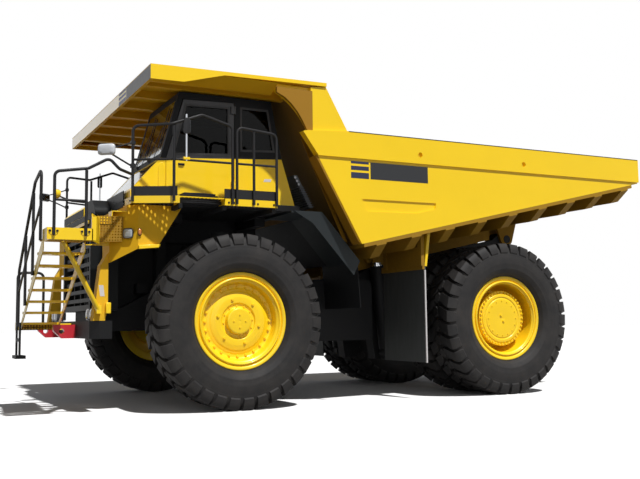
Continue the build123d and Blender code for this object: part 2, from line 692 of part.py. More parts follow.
# ---- cab ----------------------------------------------------------------------------------------
cab_nose = (1601, 3226)
cab_sill = (1156, 3731)
cab_brow = (867, 4763)
cab_back_sill = (-815, 3850)
cab_back_top = (-640, 4763)
cab_outline = [(-1036, cab_floor_z), (cab_nose[0], cab_floor_z), cab_nose, cab_sill, cab_brow, cab_back_top,
               cab_back_sill]
cab_hollow = [(-950, cab_floor_z + 60), (1535, cab_floor_z + 60), (1528, 3205), (1088, 3705), (810, 4700),
              (-580, 4700),
              (-745, 3850)]
cab_inner = (cab_right_y + cab_wall, cab_left_y - cab_wall)
door_rear_x = -17
door_front_x = 1075
door_low_z = 3190
door_outline = [(door_rear_x, door_low_z), (door_front_x, door_low_z), (door_front_x, 3740), (816, 4660),
                (door_rear_x, 4690)]
above_sill = [(1700, 3698), (-1200, 3873), (-1200, 4900), (1700, 4900)]
below_sill = [(1700, 3698), (-1200, 3873), (-1200, 3000), (1700, 3000)]


def face_band(low, high, start, stop, outer, inner):
    """A band along a sloping face from its low to its high corner, between two depths below the face."""
    run = hypot(high[0] - low[0], high[1] - low[1])
    along = ((high[0] - low[0]) / run, (high[1] - low[1]) / run)
    out = (along[1], -along[0])
    return [(low[0] + along[0] * at - out[0] * depth, low[1] + along[1] * at - out[1] * depth)
            for at, depth in ((start, outer), (run - stop, outer), (run - stop, inner), (start, inner))]


screen_y = (cab_right_y + 90, cab_left_y - 90)
back_window_y = (cab_right_y + 120, cab_left_y - 120)
rear_side_window = [(-690, 3960), (-120, 3930), (-120, 4620), (-580, 4620)]
right_window = [(-690, 3960), (1000, 3860), (790, 4620), (-580, 4620)]
outside = -40
inside = cab_wall + 60
back_face = (cab_back_top, cab_back_sill)

with BuildPart() as cab_body:
    side_slab(cab_outline, (cab_right_y, cab_left_y))
    side_slab(cab_hollow, cab_inner, mode=Mode.SUBTRACT)
    side_slab(door_outline, (cab_left_y - cab_wall - 10, cab_left_y + 10), mode=Mode.SUBTRACT)
    side_slab(above_sill, (cab_right_y - 10, cab_left_y + 10), mode=Mode.SUBTRACT)
    side_slab(face_band(cab_nose, cab_sill, 60, 60, outside, inside), screen_y, mode=Mode.SUBTRACT)
    block((-900, 1500), (cab_right_y + 100, cab_left_y - 100), (deck_top_z, cab_floor_z))
save(cab_body, "cab_body")

with BuildPart() as cab_frame:
    side_slab(cab_outline, (cab_right_y, cab_left_y))
    side_slab(cab_hollow, cab_inner, mode=Mode.SUBTRACT)
    side_slab(below_sill, (cab_right_y - 10, cab_left_y + 10), mode=Mode.SUBTRACT)
    side_slab(door_outline, (cab_left_y - cab_wall - 10, cab_left_y + 10), mode=Mode.SUBTRACT)
    side_slab(face_band(cab_sill, cab_brow, 80, 120, outside, inside), screen_y, mode=Mode.SUBTRACT)
    side_slab(face_band(*back_face, 150, 110, outside, inside), back_window_y, mode=Mode.SUBTRACT)
    side_slab(rear_side_window, (cab_left_y - cab_wall - 10, cab_left_y + 10), mode=Mode.SUBTRACT)
    side_slab(right_window, (cab_right_y - 10, cab_right_y + cab_wall + 10), mode=Mode.SUBTRACT)
save(cab_frame, "cab_frame")

with BuildPart() as cab_glass:
    pane = (20, 20 + glass_thickness)
    side_slab(face_band(cab_nose, cab_sill, 60, 60, *pane), screen_y)
    side_slab(face_band(cab_sill, cab_brow, 80, 120, *pane), screen_y)
    side_slab(face_band(*back_face, 150, 110, *pane), back_window_y)
    side_slab(rear_side_window, (cab_left_y - pane[1], cab_left_y - pane[0]))
    side_slab(right_window, (cab_right_y + pane[0], cab_right_y + pane[1]))
save(cab_glass, "cab_glass")

with BuildPart() as cab_door:
    side_slab([(door_rear_x + door_gap, door_low_z + door_gap),
               (door_front_x - door_gap, door_low_z + door_gap),
               (door_front_x - door_gap, 3738), (810 - door_gap, 4652), (door_rear_x + door_gap, 4680)],
              (cab_left_y - cab_wall, cab_left_y))
    side_slab([(door_rear_x + 90, 3850), (door_front_x - 110, 3800), (770, 4580), (door_rear_x + 90, 4600)],
              (cab_left_y - cab_wall - 10, cab_left_y + 10), mode=Mode.SUBTRACT)
    for z in (3330, 4500):
        bar((door_rear_x - 3, cab_left_y + 20, z), (door_rear_x - 3, cab_left_y + 20, z + 120), 18)
        block((door_rear_x - 3, door_rear_x + 60), (cab_left_y, cab_left_y + 30), (z, z + 120))
save(cab_door, "cab_door")

with BuildPart() as door_glass:
    side_slab([(door_rear_x + 90, 3850), (door_front_x - 110, 3800), (770, 4580), (door_rear_x + 90, 4600)],
              (cab_left_y - pane[1], cab_left_y - pane[0]))
save(door_glass, "door_glass")

seat_y = 1420
seat_z = cab_floor_z + 60
with BuildPart() as seats:
    block((-420, 120), (seat_y - 270, seat_y + 270), (seat_z + 340, seat_z + 470))
    side_slab([(-420, seat_z + 460), (-280, seat_z + 460), (-400, seat_z + 1120), (-520, seat_z + 1100)],
              (seat_y - 260, seat_y + 260))
    block((-330, 30), (seat_y - 180, seat_y + 180), (seat_z, seat_z + 340))
    # the trainer's seat
    block((-520, -120), (760, 1090), (seat_z, seat_z + 420))
    side_slab([(-520, seat_z + 420), (-430, seat_z + 420), (-500, seat_z + 920), (-580, seat_z + 920)],
              (760, 1090))
save(seats, "seats")

with BuildPart() as cab_controls:
    # dashboard, steering column and steering wheel
    side_slab([(620, seat_z), (1180, seat_z), (1050, 3640), (960, 3780), (700, 3740)],
              (cab_inner[0] + 4, cab_inner[1] - 14))
    with Locations(Plane(origin=(ahead(520), seat_y, 3830), z_dir=(-0.5, 0, 0.866)).location):
        Torus(215, 20)
        Cylinder(45, 30)
        for turn in (0, 120, 240):
            with Locations(Location((0, 0, 0), (0, 0, turn))):
                with Locations((110, 0, 0)):
                    Box(200, 34, 16)
    bar((520, seat_y, 3830), (742, seat_y, 3446), 38)
save(cab_controls, "cab_controls")

# ---- mirrors, lamps, rear guards ----------------------------------------------------------------
mirror_rod_radius = 14
with BuildPart() as mirrors:
    for name, side in sides:
        # one on an arm ahead of the corner post, one on a rod beside the edge rail
        mirror_y = corner_post[1] + 117
        block((2010, 2060), mirrored((mirror_y - 120, mirror_y + 120), side), (3480, 3830))
        bar((2035, side * mirror_y, 3650), (corner_post[0] + 25, side * (corner_post[1] + 8), 3527), 16)
        rod_y = edge_rail_y + infill_tube_radius + mirror_rod_radius + running_gap
        block((900, 990), mirrored((rod_y - 7, rod_y + 31), side), (rail_mid + 370, rail_mid + 610))
        bar((945, side * rod_y, rail_mid + 380), (945, side * rod_y, rail_mid - 20), mirror_rod_radius)
save(mirrors, "mirrors")

with BuildPart() as headlamps:
    for name, side in sides:
        for y in (1180, 1440):
            block((bumper_front_x - 230, bumper_front_x - 40), mirrored((y, y + 210), side),
                  (bumper_top_z, bumper_top_z + 190))
save(headlamps, "headlamps")

guard_y = 2440
with BuildPart() as mudguards:
    for name, side in sides:
        side_slab([(-861, deck_low_z), (-1346, deck_low_z), (-2016, 2241), (-1902, 2017), (-1180, 2820)],
                  mirrored((guard_y, guard_y + 30), side))
        side_slab([(-1346, deck_low_z), (-2016, 2241), (-1990, 2210), (-1320, 2965)],
                  mirrored((1400, guard_y), side))
        block((-1346, -830), mirrored((1400, guard_y), side), (deck_low_z - 30, deck_low_z))
save(mudguards, "mudguards")

# ---- bed ----------------------------------------------------------------------------------------
slope = tan(radians(bed_floor_angle))


def floor_slab(x, y, top, low, mode=Mode.ADD):
    """A slab that follows the floor's slope; top and low are measured from the panel's lower edge."""
    side_slab([(x[0], bed_line(x[0]) + top), (x[1], bed_line(x[1]) + top), (x[1], bed_line(x[1]) + low),
               (x[0], bed_line(x[0]) + low)], y, mode)


head_foot = (-1950, 2520)
head_lean = 0.489  # forward for each unit of height
head_thickness = 130


def head_x(z, back=0):
    """Station of the headboard's front face, or of a face behind it, at a height."""
    return head_foot[0] + (z - head_foot[1]) * head_lean - back


def head_meets_floor(back, top):
    """Where a face of the headboard crosses a face of the floor, as (x, z)."""
    rise = bed_front_z + top + (bed_front_x - head_x(head_foot[1], back) + head_foot[1] * head_lean) * slope
    z = rise / (1 + head_lean * slope)
    return head_x(z, back), z


def canopy_top(x):
    """Height of the canopy's top face."""
    share = (canopy_front_x - x) / (canopy_front_x - canopy_rear_x)
    return canopy_front_z + share * (canopy_rear_z - canopy_front_z)


floor_rear_x = bed_tail_x + 40
with BuildPart() as bed_floor:
    side_slab([head_meets_floor(head_thickness, 0), head_meets_floor(head_thickness, bed_floor_thickness),
               (floor_rear_x, bed_line(floor_rear_x) + bed_floor_thickness),
               (floor_rear_x, bed_line(floor_rear_x))],
              (-bed_inner_y, bed_inner_y))
save(bed_floor, "bed_floor")

skin = 60
bolster_pitch = (abs(bed_tail_x - bed_front_x) - 700) / (bolster_count - 1)
bolster_taper = 302  # the ends rise over this width
floor_lean = radians(bed_floor_angle)


def along_floor(outline, x, length):
    """A beam back along the floor's slope; its outline is (y, distance below the panel's lower edge)."""
    start = Plane(origin=(ahead(x), 0, bed_line(x)), x_dir=(0, 1, 0),
                  z_dir=(-cos(floor_lean), 0, sin(floor_lean)))
    with BuildSketch(start) as section:
        with BuildLine():
            Polyline(*[(y, depth * cos(floor_lean)) for y, depth in outline], close=True)
        make_face()
    extrude(section.sketch, amount=length)


with BuildPart() as bed_underframe:
    # the skin under the floor, the cross bolsters, and the ears of the tipping pins and of the hoist rods
    floor_slab((head_meets_floor(0, 0)[0], bed_tail_x + 150), (-bed_panel_y, bed_panel_y), 0, -skin)
    bolster_end = bed_panel_y - bolster_taper
    for index in range(bolster_count):
        along_floor([(-bed_panel_y, skin / 2), (-bed_panel_y, skin + 20), (-bolster_end, bolster_depth),
                     (bolster_end, bolster_depth), (bed_panel_y, skin + 20), (bed_panel_y, skin / 2)],
                    bed_front_x - 250 - index * bolster_pitch, bolster_width)
    for name, side in sides:
        for y in ((rail_inner_y - moving_gap - ear_thickness, rail_inner_y - moving_gap),
                  (rail_outer_y + moving_gap, rail_outer_y + moving_gap + ear_thickness)):
            side_slab([(hinge_x - 130, hinge_z - 60), (hinge_x - 60, hinge_z - 130),
                       (hinge_x + 60, hinge_z - 130),
                       (hinge_x + 130, hinge_z - 60), (hinge_x + 330, bed_line(hinge_x + 330) - skin),
                       (hinge_x - 330, bed_line(hinge_x - 330) - skin)], mirrored(y, side))
        bar((hinge_x, side * 300, hinge_z), (hinge_x, side * 800, hinge_z), hinge_pin_radius + running_gap,
            mode=Mode.SUBTRACT)
        for y in (hoist_y - hoist_eye_width / 2 - moving_gap - 40,
                  hoist_y + hoist_eye_width / 2 + moving_gap):
            side_slab([(hoist_high[0] - 230, bed_line(hoist_high[0] - 230) - skin),
                       (hoist_high[0] + 230, bed_line(hoist_high[0] + 230) - skin),
                       (hoist_high[0] + 120, hoist_high[1] - 110),
                       (hoist_high[0] - 120, hoist_high[1] - 110)],
                      mirrored((y, y + 40), side))
save(bed_underframe, "bed_underframe")

hanger_posts_y = (1300, 2390)
hanger_width = 110
flap_outer_y = 2500
flap_top_z = 2230
runner_front_x = -2350
runner_rear_x = hinge_x + 380
with BuildPart() as bed_runners:
    # the two beams that lie on the frame, welded under the bolsters, and the hangers of the rock guards
    for name, side in sides:
        floor_slab((runner_front_x, runner_rear_x), mirrored((rail_inner_y + 10, rail_outer_y - 10), side),
                   -bolster_depth, -runner_low)
        for y in hanger_posts_y:
            back_x = flap_x + 20
            side_slab([(back_x, flap_top_z - 40), (back_x + 60, flap_top_z - 40),
                       (back_x + 60, bed_line(back_x + 60) - skin), (back_x, bed_line(back_x) - skin)],
                      mirrored((y, y + hanger_width), side))
        block((flap_x + 20, flap_x + 60), mirrored((flap_inner_y, flap_outer_y), side),
              (flap_top_z - 100, flap_top_z))
save(bed_runners, "bed_runners")

with BuildPart() as mudflaps:
    for name, side in sides:
        block((flap_x, flap_x + 20), mirrored((flap_inner_y, flap_outer_y), side), (600, flap_top_z))
save(mudflaps, "mudflaps")

wing_outline = [(-1160, bed_rail_low_z), (-1050, 4190), (-1050, canopy_front_z - 46),
                (canopy_rear_x, canopy_rear_z - 60), (-1700, 4245),
                (-1700, bed_rail_low_z)]
panel_recess = [(-1937, 3206), (-3338, 3207), (-3321, 3112), (-2954, 3023), (-2024, 3013)]
recess_depth = 20
gusset_front_x = -482
gusset_thickness = 40


def corner_gusset(side):
    """The plate in the corner of side, headboard and canopy, with its front edge hollowed to an arc."""
    y = mirrored((bed_inner_y, bed_inner_y + gusset_thickness), side)
    low, top = 4009, canopy_front_z - 170
    arc = [(ahead(gusset_front_x), top), (ahead(-825), low + 0.66 * (top - low)), (ahead(-1091), low)]
    roof = canopy_top(gusset_front_x) - canopy_plate - running_gap
    with BuildSketch(Plane.XZ.offset(-max(y))) as outline:
        with BuildLine():
            ThreePointArc(*arc)
            Polyline(arc[2], (ahead(-1160), low), (ahead(-1160), roof - 24), (arc[0][0], roof), arc[0])
        make_face()
    extrude(outline.sketch, amount=gusset_thickness)


with BuildPart() as bed_sides:
    for name, side in sides:
        side_slab([(bed_front_x, bed_front_z), (-1160, bed_rail_low_z), (-1160, 4200), (bed_tail_x, 4200),
                   (bed_tail_x, bed_line(bed_tail_x))], mirrored((bed_inner_y, bed_panel_y), side))
        side_slab(wing_outline, mirrored((bed_inner_y, bed_panel_y), side))
        side_slab([(-900, 4199), (-1160, bed_rail_low_z), (bed_tail_x - 15, bed_rail_low_z),
                   (bed_tail_x - 15, bed_rail_top_z + 9),
                   (-1700, bed_rail_top_z), (-960, 4215)], mirrored((bed_inner_y, bed_half_width), side))
        for x in (-3036, -5200):
            bar((x, side * (bed_half_width - 40), 3988), (x, side * (bed_half_width + 5), 3988), 42,
                mode=Mode.SUBTRACT)
        side_slab(panel_recess, mirrored((bed_panel_y - recess_depth, bed_panel_y + 5), side),
                  mode=Mode.SUBTRACT)
        corner_gusset(side)
save(bed_sides, "bed_sides")

with BuildPart() as bed_headboard:
    side_slab([head_meets_floor(0, 0), (head_x(headboard_top_z), headboard_top_z),
               (head_x(headboard_top_z, head_thickness), headboard_top_z),
               head_meets_floor(head_thickness, 0)], (-bed_inner_y, bed_inner_y))
save(bed_headboard, "bed_headboard")

rib_low_z = canopy_front_z - 161
skirt_low_z = canopy_front_z - 176
with BuildPart() as bed_canopy:
    side_slab([(canopy_front_x, canopy_front_z), (canopy_rear_x, canopy_rear_z),
               (canopy_rear_x, canopy_rear_z - canopy_plate),
               (canopy_front_x, canopy_front_z - canopy_plate)], (-bed_half_width, bed_half_width))
    block((canopy_front_x - 50, canopy_front_x), (-bed_half_width, bed_half_width),
          (canopy_front_z - canopy_lip, canopy_front_z - 10))
    for name, side in sides:
        side_slab([(canopy_front_x - 50, canopy_front_z - canopy_lip),
                   (996, canopy_front_z - canopy_lip + 5), (272, canopy_top(272) - 30),
                   (canopy_front_x - 50, canopy_front_z - 10)],
                  mirrored((bed_half_width - 40, bed_half_width), side))
        front_slab([(side * (bed_half_width - 60), canopy_top(1400) - canopy_plate),
                    (side * bed_half_width, canopy_top(1400) - canopy_plate), (side * 2480, skirt_low_z),
                    (side * 2420, skirt_low_z)],
                   (gusset_front_x + running_gap, canopy_front_x - 50))
    for index in range(canopy_ribs):
        y = (index - (canopy_ribs - 1) / 2) * canopy_rib_spacing
        side_slab([(canopy_front_x - 50, canopy_front_z - 40),
                   (head_x(headboard_top_z) + running_gap, headboard_top_z + 60),
                   (head_x(headboard_top_z) + running_gap, headboard_top_z),
                   (head_x(rib_low_z) + running_gap, rib_low_z), (canopy_front_x - 50, rib_low_z)],
                   (y - 60, y + 60))
    # the headboard's top edge stands in this plate
    side_slab([(head_x(headboard_top_z), headboard_top_z),
               (head_x(headboard_top_z, head_thickness), headboard_top_z),
               (head_x(headboard_top_z, head_thickness), canopy_rear_z - 20),
               (head_x(headboard_top_z), canopy_rear_z - 20)], (-bed_inner_y, bed_inner_y))
    side_slab([head_meets_floor(0, 0), (head_x(headboard_top_z), headboard_top_z),
               (head_x(headboard_top_z, head_thickness), headboard_top_z),
               head_meets_floor(head_thickness, 0)], (-bed_inner_y, bed_inner_y), mode=Mode.SUBTRACT)
    for name, side in sides:
        side_slab(wing_outline, mirrored((bed_inner_y, bed_half_width), side), mode=Mode.SUBTRACT)
save(bed_canopy, "bed_canopy")

# ---- hoists -------------------------------------------------------------------------------------
hoist_run = hypot(hoist_high[0] - hoist_low[0], hoist_high[1] - hoist_low[1])
hoist_lean = atan2(hoist_high[0] - hoist_low[0], hoist_high[1] - hoist_low[1])


def along_hoist(distance, side):
    """A point on the cylinder's line, as (ahead of the front axle, y, z)."""
    return (hoist_low[0] + distance * sin(hoist_lean), side * hoist_y,
            hoist_low[1] + distance * cos(hoist_lean))


with BuildPart() as hoist_barrels:
    for name, side in sides:
        bar(along_hoist(90, side), along_hoist(hoist_run - 170, side), barrel_radius)
        eye = mirrored((hoist_y - hoist_eye_width / 2 + moving_gap,
                        hoist_y + hoist_eye_width / 2 - moving_gap), side)
        bar((hoist_low[0], eye[0], hoist_low[1]), (hoist_low[0], eye[1], hoist_low[1]), hoist_eye_radius)
        bar(along_hoist(130, side), along_hoist(hoist_run, side), sleeve_radius + running_gap,
            mode=Mode.SUBTRACT)
    bar((hoist_low[0], -2 * hoist_y, hoist_low[1]), (hoist_low[0], 2 * hoist_y, hoist_low[1]),
        hoist_pin_radius + running_gap, mode=Mode.SUBTRACT)
save(hoist_barrels, "hoist_barrels")

with BuildPart() as hoist_sleeves:
    for name, side in sides:
        bar(along_hoist(132, side), along_hoist(hoist_run - 150, side), sleeve_radius)
        bar(along_hoist(150, side), along_hoist(hoist_run, side), rod_radius + running_gap,
            mode=Mode.SUBTRACT)
save(hoist_sleeves, "hoist_sleeves")

with BuildPart() as hoist_rods:
    for name, side in sides:
        bar(along_hoist(152, side), along_hoist(hoist_run - 60, side), rod_radius)
        top = along_hoist(hoist_run, side)
        bar((top[0], side * (hoist_y - hoist_eye_width / 2), top[2]),
            (top[0], side * (hoist_y + hoist_eye_width / 2), top[2]),
            hoist_eye_radius)
        bar((top[0], side * (hoist_y - hoist_eye_width), top[2]),
            (top[0], side * (hoist_y + hoist_eye_width), top[2]),
            hoist_pin_radius, mode=Mode.SUBTRACT)
save(hoist_rods, "hoist_rods")
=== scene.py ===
import bmesh
import bpy
import numpy as np
from math import cos, pi, radians, sin
from mathutils import Matrix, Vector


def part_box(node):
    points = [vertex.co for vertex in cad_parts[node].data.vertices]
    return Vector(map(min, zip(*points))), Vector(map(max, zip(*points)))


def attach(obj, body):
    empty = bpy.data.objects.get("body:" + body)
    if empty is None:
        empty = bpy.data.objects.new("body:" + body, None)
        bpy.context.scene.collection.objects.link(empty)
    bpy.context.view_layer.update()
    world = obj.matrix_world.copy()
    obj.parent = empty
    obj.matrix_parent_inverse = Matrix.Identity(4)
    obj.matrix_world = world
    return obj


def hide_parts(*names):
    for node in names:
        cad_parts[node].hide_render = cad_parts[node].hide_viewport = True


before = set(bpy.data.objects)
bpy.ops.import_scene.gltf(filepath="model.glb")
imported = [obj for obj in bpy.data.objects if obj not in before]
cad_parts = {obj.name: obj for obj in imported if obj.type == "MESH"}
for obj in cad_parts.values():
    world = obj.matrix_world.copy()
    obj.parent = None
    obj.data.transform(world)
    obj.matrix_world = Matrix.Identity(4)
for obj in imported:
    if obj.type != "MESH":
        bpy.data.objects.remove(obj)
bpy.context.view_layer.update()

# ---- The studio -------------------------------------------------------------------------------------
# A low, eye-level view of the truck's front left quarter, on a pale concrete floor that runs out to white.
# A high, crisp sun stands over its left side, a little behind the cab, and an even sky fills the shade.


def linear(hex_colour):
    """An sRGB hex colour as linear RGBA: c / 12.92 near black, and ((c + 0.055) / 1.055) ** 2.4 above."""
    channels = np.array([int(hex_colour[i:i + 2], 16) for i in (1, 3, 5)]) / 255
    low, high = channels / 12.92, ((channels + 0.055) / 1.055) ** 2.4
    return (*np.where(channels <= 0.04045, low, high), 1.0)


def fill(node, settings=None, links=None):
    """Gives a shader node its settings, which are properties or inputs, and joins sockets to its inputs."""
    for key, value in (settings or {}).items():
        if isinstance(key, str) and hasattr(node, key):
            setattr(node, key, value)
        else:
            node.inputs[key].default_value = value
    for key, socket in (links or {}).items():
        node.id_data.links.new(socket, node.inputs[key])
    return node


def add(tree, kind, settings=None, links=None):
    """Adds one shader node with its settings and links."""
    return fill(tree.nodes.new("ShaderNode" + kind), settings, links)


def new_material(name):
    """An empty material: its node tree, its main shader and the object coordinates that patterns read."""
    material = bpy.data.materials.new(name)
    material.use_nodes = True
    tree = material.node_tree
    tree.nodes.clear()
    shader = add(tree, "BsdfPrincipled")
    add(tree, "OutputMaterial", links={"Surface": shader.outputs[0]})
    place = add(tree, "TexCoord").outputs["Object"]
    return material, tree, shader, place


def seen_directly(tree):
    """1 for rays from the camera, from mirrors and through glass, which see the surround itself."""
    path = add(tree, "LightPath")
    either = add(tree, "Math", {"operation": "MAXIMUM"},
                 {0: path.outputs["Is Camera Ray"], 1: path.outputs["Is Glossy Ray"]})
    return add(tree, "Math", {"operation": "MAXIMUM"},
               {0: either.outputs[0], 1: path.outputs["Is Transmission Ray"]}).outputs[0]


surround = bpy.data.worlds.new("white_surround")
surround.use_nodes = True
bpy.context.scene.world = surround
tree = surround.node_tree
tree.nodes.clear()
sky_strength = 0.1
sky = add(tree, "Background", {"Color": linear("#F1F6FF"), "Strength": sky_strength})
white = add(tree, "Background", {"Color": (1, 1, 1, 1), "Strength": 1.0})
either = add(tree, "MixShader", links={0: seen_directly(tree), 1: sky.outputs[0], 2: white.outputs[0]})
add(tree, "OutputWorld", links={"Surface": either.outputs[0]})

# Concrete, power floated: grey for the light that it throws back under the truck, and so pale to the eye
# that it meets the white surround, with very slight clouds about 3 m across.
concrete, tree, shader, place = new_material("pale_floated_concrete")
clouds = add(tree, "TexNoise", {"Scale": 0.35, "Detail": 3.0}, {"Vector": place}).outputs[0]
pale = add(tree, "Mix", {"data_type": "RGBA", 6: linear("#F8F7F6"), 7: linear("#F3F2F1")}, {0: clouds})
grey = add(tree, "Mix", {"data_type": "RGBA", 6: linear("#686562"), 7: linear("#605E5B")}, {0: clouds})
shown = add(tree, "Mix", {"data_type": "RGBA"},
            {0: seen_directly(tree), 6: grey.outputs[2], 7: pale.outputs[2]})
fill(shader, {"Roughness": 0.9, "Specular IOR Level": 0.1}, {"Base Color": shown.outputs[2]})

floor_radius, floor_corners = 140.0, 64
turn = np.linspace(0, 2 * pi, floor_corners, endpoint=False)
floor_points = np.stack([floor_radius * np.cos(turn), floor_radius * np.sin(turn), 0 * turn], axis=1)
floor_mesh = bpy.data.meshes.new("studio_floor")
floor_mesh.from_pydata(floor_points.tolist(), [], [list(range(floor_corners))])
floor_mesh.materials.append(concrete)
studio_floor = bpy.data.objects.new("studio_floor", floor_mesh)
bpy.context.scene.collection.objects.link(studio_floor)

# The eye stands low, 14 m out to the left and ahead of the front axle, and looks slightly up.
eye = (7.3655, 14.415, 1.278)
eye_yaw, eye_pitch, eye_roll = radians(27.19), radians(5.47), radians(-0.72)
look = np.array([-sin(eye_yaw) * cos(eye_pitch), -cos(eye_yaw) * cos(eye_pitch), sin(eye_pitch)])
level = np.cross(look, (0, 0, 1))
level /= np.linalg.norm(level)
up = np.cross(level, look)
right = cos(eye_roll) * level + sin(eye_roll) * up
up = cos(eye_roll) * up - sin(eye_roll) * level
camera_data = bpy.data.cameras.new("eye_level")
camera_data.lens = 48.62
camera_data.sensor_width = 36.0
camera_data.clip_end = 500.0
camera = bpy.data.objects.new("eye_level", camera_data)
camera.matrix_world = Matrix([[right[i], up[i], -look[i], eye[i]] for i in range(3)] + [[0, 0, 0, 1]])
bpy.context.scene.collection.objects.link(camera)
bpy.context.scene.camera = camera


def sun(name, towards, strength, width):
    """A sun whose light comes from a direction; its apparent width in degrees softens its shadows."""
    lamp = bpy.data.lights.new(name, "SUN")
    lamp.energy = strength
    lamp.angle = radians(width)
    obj = bpy.data.objects.new(name, lamp)
    back = np.array(towards, float) / np.linalg.norm(towards)
    side = np.cross((0, 0, 1), back)
    side /= np.linalg.norm(side)
    over = np.cross(back, side)
    obj.matrix_world = Matrix([[side[i], over[i], back[i], 0] for i in range(3)] + [[0, 0, 0, 1]])
    bpy.context.scene.collection.objects.link(obj)


sun("key_sun", (-0.1, 0.5, 0.86), 4.3, 1.6)
sun("side_fill", (0.25, 1.0, 0.22), 0.42, 40)
bpy.context.scene.view_settings.view_transform = "Standard"

# ---- Frame, axle and tanks --------------------------------------------------------------------------
# Welded steel plate and castings, sprayed with matt black enamel over a primer. The site leaves a film of
# pale dust low down and on level places, which dulls the coat a little.


def enamel(name, colour, dusty="#D8B56A", roughness=0.32, coat=0.2, dust=0.09, specular=0.35):
    """Sprayed enamel: its colour clouds by a few percent over a metre, specks of dust 70 mm apart thicken
    towards the ground, and swells 0.4 m across show the plate's waviness, deeper than it is."""
    material, tree, shader, place = new_material(name)
    cloud = add(tree, "TexNoise", {"Scale": 0.9, "Detail": 4.0, "Roughness": 0.6}, {"Vector": place})
    speck = add(tree, "TexNoise", {"Scale": 14.0, "Detail": 6.0, "Roughness": 0.7}, {"Vector": place})
    speck = speck.outputs[0]
    height = add(tree, "SeparateXYZ", links={0: place}).outputs["Z"]
    low = add(tree, "MapRange", {"From Min": 0.3, "From Max": 3.4, "To Min": 1.0, "To Max": 0.25},
              {0: height})
    film = add(tree, "Math", {"operation": "MULTIPLY"}, {0: low.outputs[0], 1: speck})
    film = add(tree, "Math", {"operation": "MULTIPLY", 1: dust}, {0: film.outputs[0]})
    bright = add(tree, "MapRange", {"To Min": 0.93, "To Max": 1.05}, {0: cloud.outputs[0]})
    tone = add(tree, "HueSaturation", {"Color": linear(colour)}, {"Value": bright.outputs[0]})
    mixed = add(tree, "Mix", {"data_type": "RGBA", 7: linear(dusty)},
                {0: film.outputs[0], 6: tone.outputs[0]})
    rough = add(tree, "MapRange", {"To Min": roughness - 0.06, "To Max": roughness + 0.12}, {0: speck})
    swell = add(tree, "TexNoise", {"Scale": 2.4, "Detail": 1.0}, {"Vector": place})
    bump = add(tree, "Bump", {"Strength": 0.25, "Distance": 0.012}, {"Height": swell.outputs[0]})
    fill(shader, {"Coat Weight": coat, "Coat Roughness": 0.12, "Specular IOR Level": specular},
         {"Base Color": mixed.outputs[2], "Roughness": rough.outputs[0], "Normal": bump.outputs[0]})
    return material


def refinish(material, *nodes):
    """Gives CAD pieces a finish in place of their plain one."""
    for node in nodes:
        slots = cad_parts[node].data.materials
        slots.clear()
        slots.append(material)


# Matt black chassis enamel: nearly no gloss, browned by the dust that it holds.
chassis_enamel = enamel("matt_black_chassis_enamel", "#0E0F11", "#33302D", roughness=0.6, coat=0.0, dust=0.15,
                        specular=0.16)
refinish(chassis_enamel, "main_frame", "front_bumper", "powertrain", "suspension", "knuckle_left",
         "knuckle_right", "rear_axle", "side_tanks")

# ---- Tyres ------------------------------------------------------------------------------------------
# Earthmover tyres of natural rubber, cured in a mould: a smooth bulging wall with a few mould rings, and deep
# rock lugs, thirty-four to a turn, that run over the shoulders with six-sided blocks between them.


def grid_faces(rows, columns, close_rows=False, close_columns=False):
    """Quads between neighbours of a rows by columns grid of points, wrapped round where a way is closed."""
    r = np.arange(rows if close_rows else rows - 1)
    c = np.arange(columns if close_columns else columns - 1)
    r, c = (a.ravel() for a in np.meshgrid(r, c, indexing="ij"))
    r2, c2 = (r + 1) % rows, (c + 1) % columns
    return np.stack([r * columns + c, r * columns + c2, r2 * columns + c2, r2 * columns + c], axis=1)


def ring_faces(rings, corners):
    """A closed form made of rings: quads between neighbouring rings, and a flat cap on the first and last."""
    last = (rings - 1) * corners
    return [*grid_faces(rings, corners, False, True), range(corners)[::-1], range(last, last + corners)]


def copied(faces, size, count):
    """The faces of one form, numbered on for each of its copies; size is the form's number of points."""
    return [tuple(i + k * size for i in face) for k in range(count) for face in faces]


def join(shapes):
    """Several (points, faces) shapes as one; faces are arrays of corner numbers or lists of them."""
    points, faces, start = [], [], 0
    for shape_points, shape_faces in shapes:
        points.append(np.asarray(shape_points, float))
        faces += [tuple(i + start for i in face) for face in shape_faces]
        start += len(shape_points)
    return np.concatenate(points), faces


def mirror_y(shape):
    """The mirror image across the truck's middle plane, with its faces turned to point outwards again."""
    points, faces = shape
    return points * (1, -1, 1), [tuple(face)[::-1] for face in faces]


def smooth_line(corners, count):
    """Points on a Catmull-Rom curve through the corners: each span blends its four nearest by cubics."""
    p = np.asarray(corners, float)
    p = np.concatenate([2 * p[:1] - p[1:2], p, 2 * p[-1:] - p[-2:-1]])
    at = np.linspace(0, len(p) - 3 - 1e-9, count)
    i, t = at.astype(int), (at % 1)[:, None]
    a, b, c, d = (p[i + k] for k in range(4))
    return b + 0.5 * t * (c - a + t * (2 * a - 5 * b + 4 * c - d + t * (3 * (b - c) + d - a)))


def turned(profile, centre, steps, axis=1, closed=True):
    """A (radius, along) outline turned about an axis through a centre: r cos a on the next axis, r sin a on
    the one after it. A closed outline makes a ring, and an open one starts and ends on the axis."""
    radius, along = np.asarray(profile, float).T
    a = np.linspace(0, 2 * pi, steps, endpoint=False)[:, None]
    points = np.zeros((steps, len(radius), 3))
    points[..., axis] = along
    points[..., (axis + 1) % 3] = radius * np.cos(a)
    points[..., (axis + 2) % 3] = radius * np.sin(a)
    return (points + centre).reshape(-1, 3), grid_faces(steps, len(radius), True, closed)


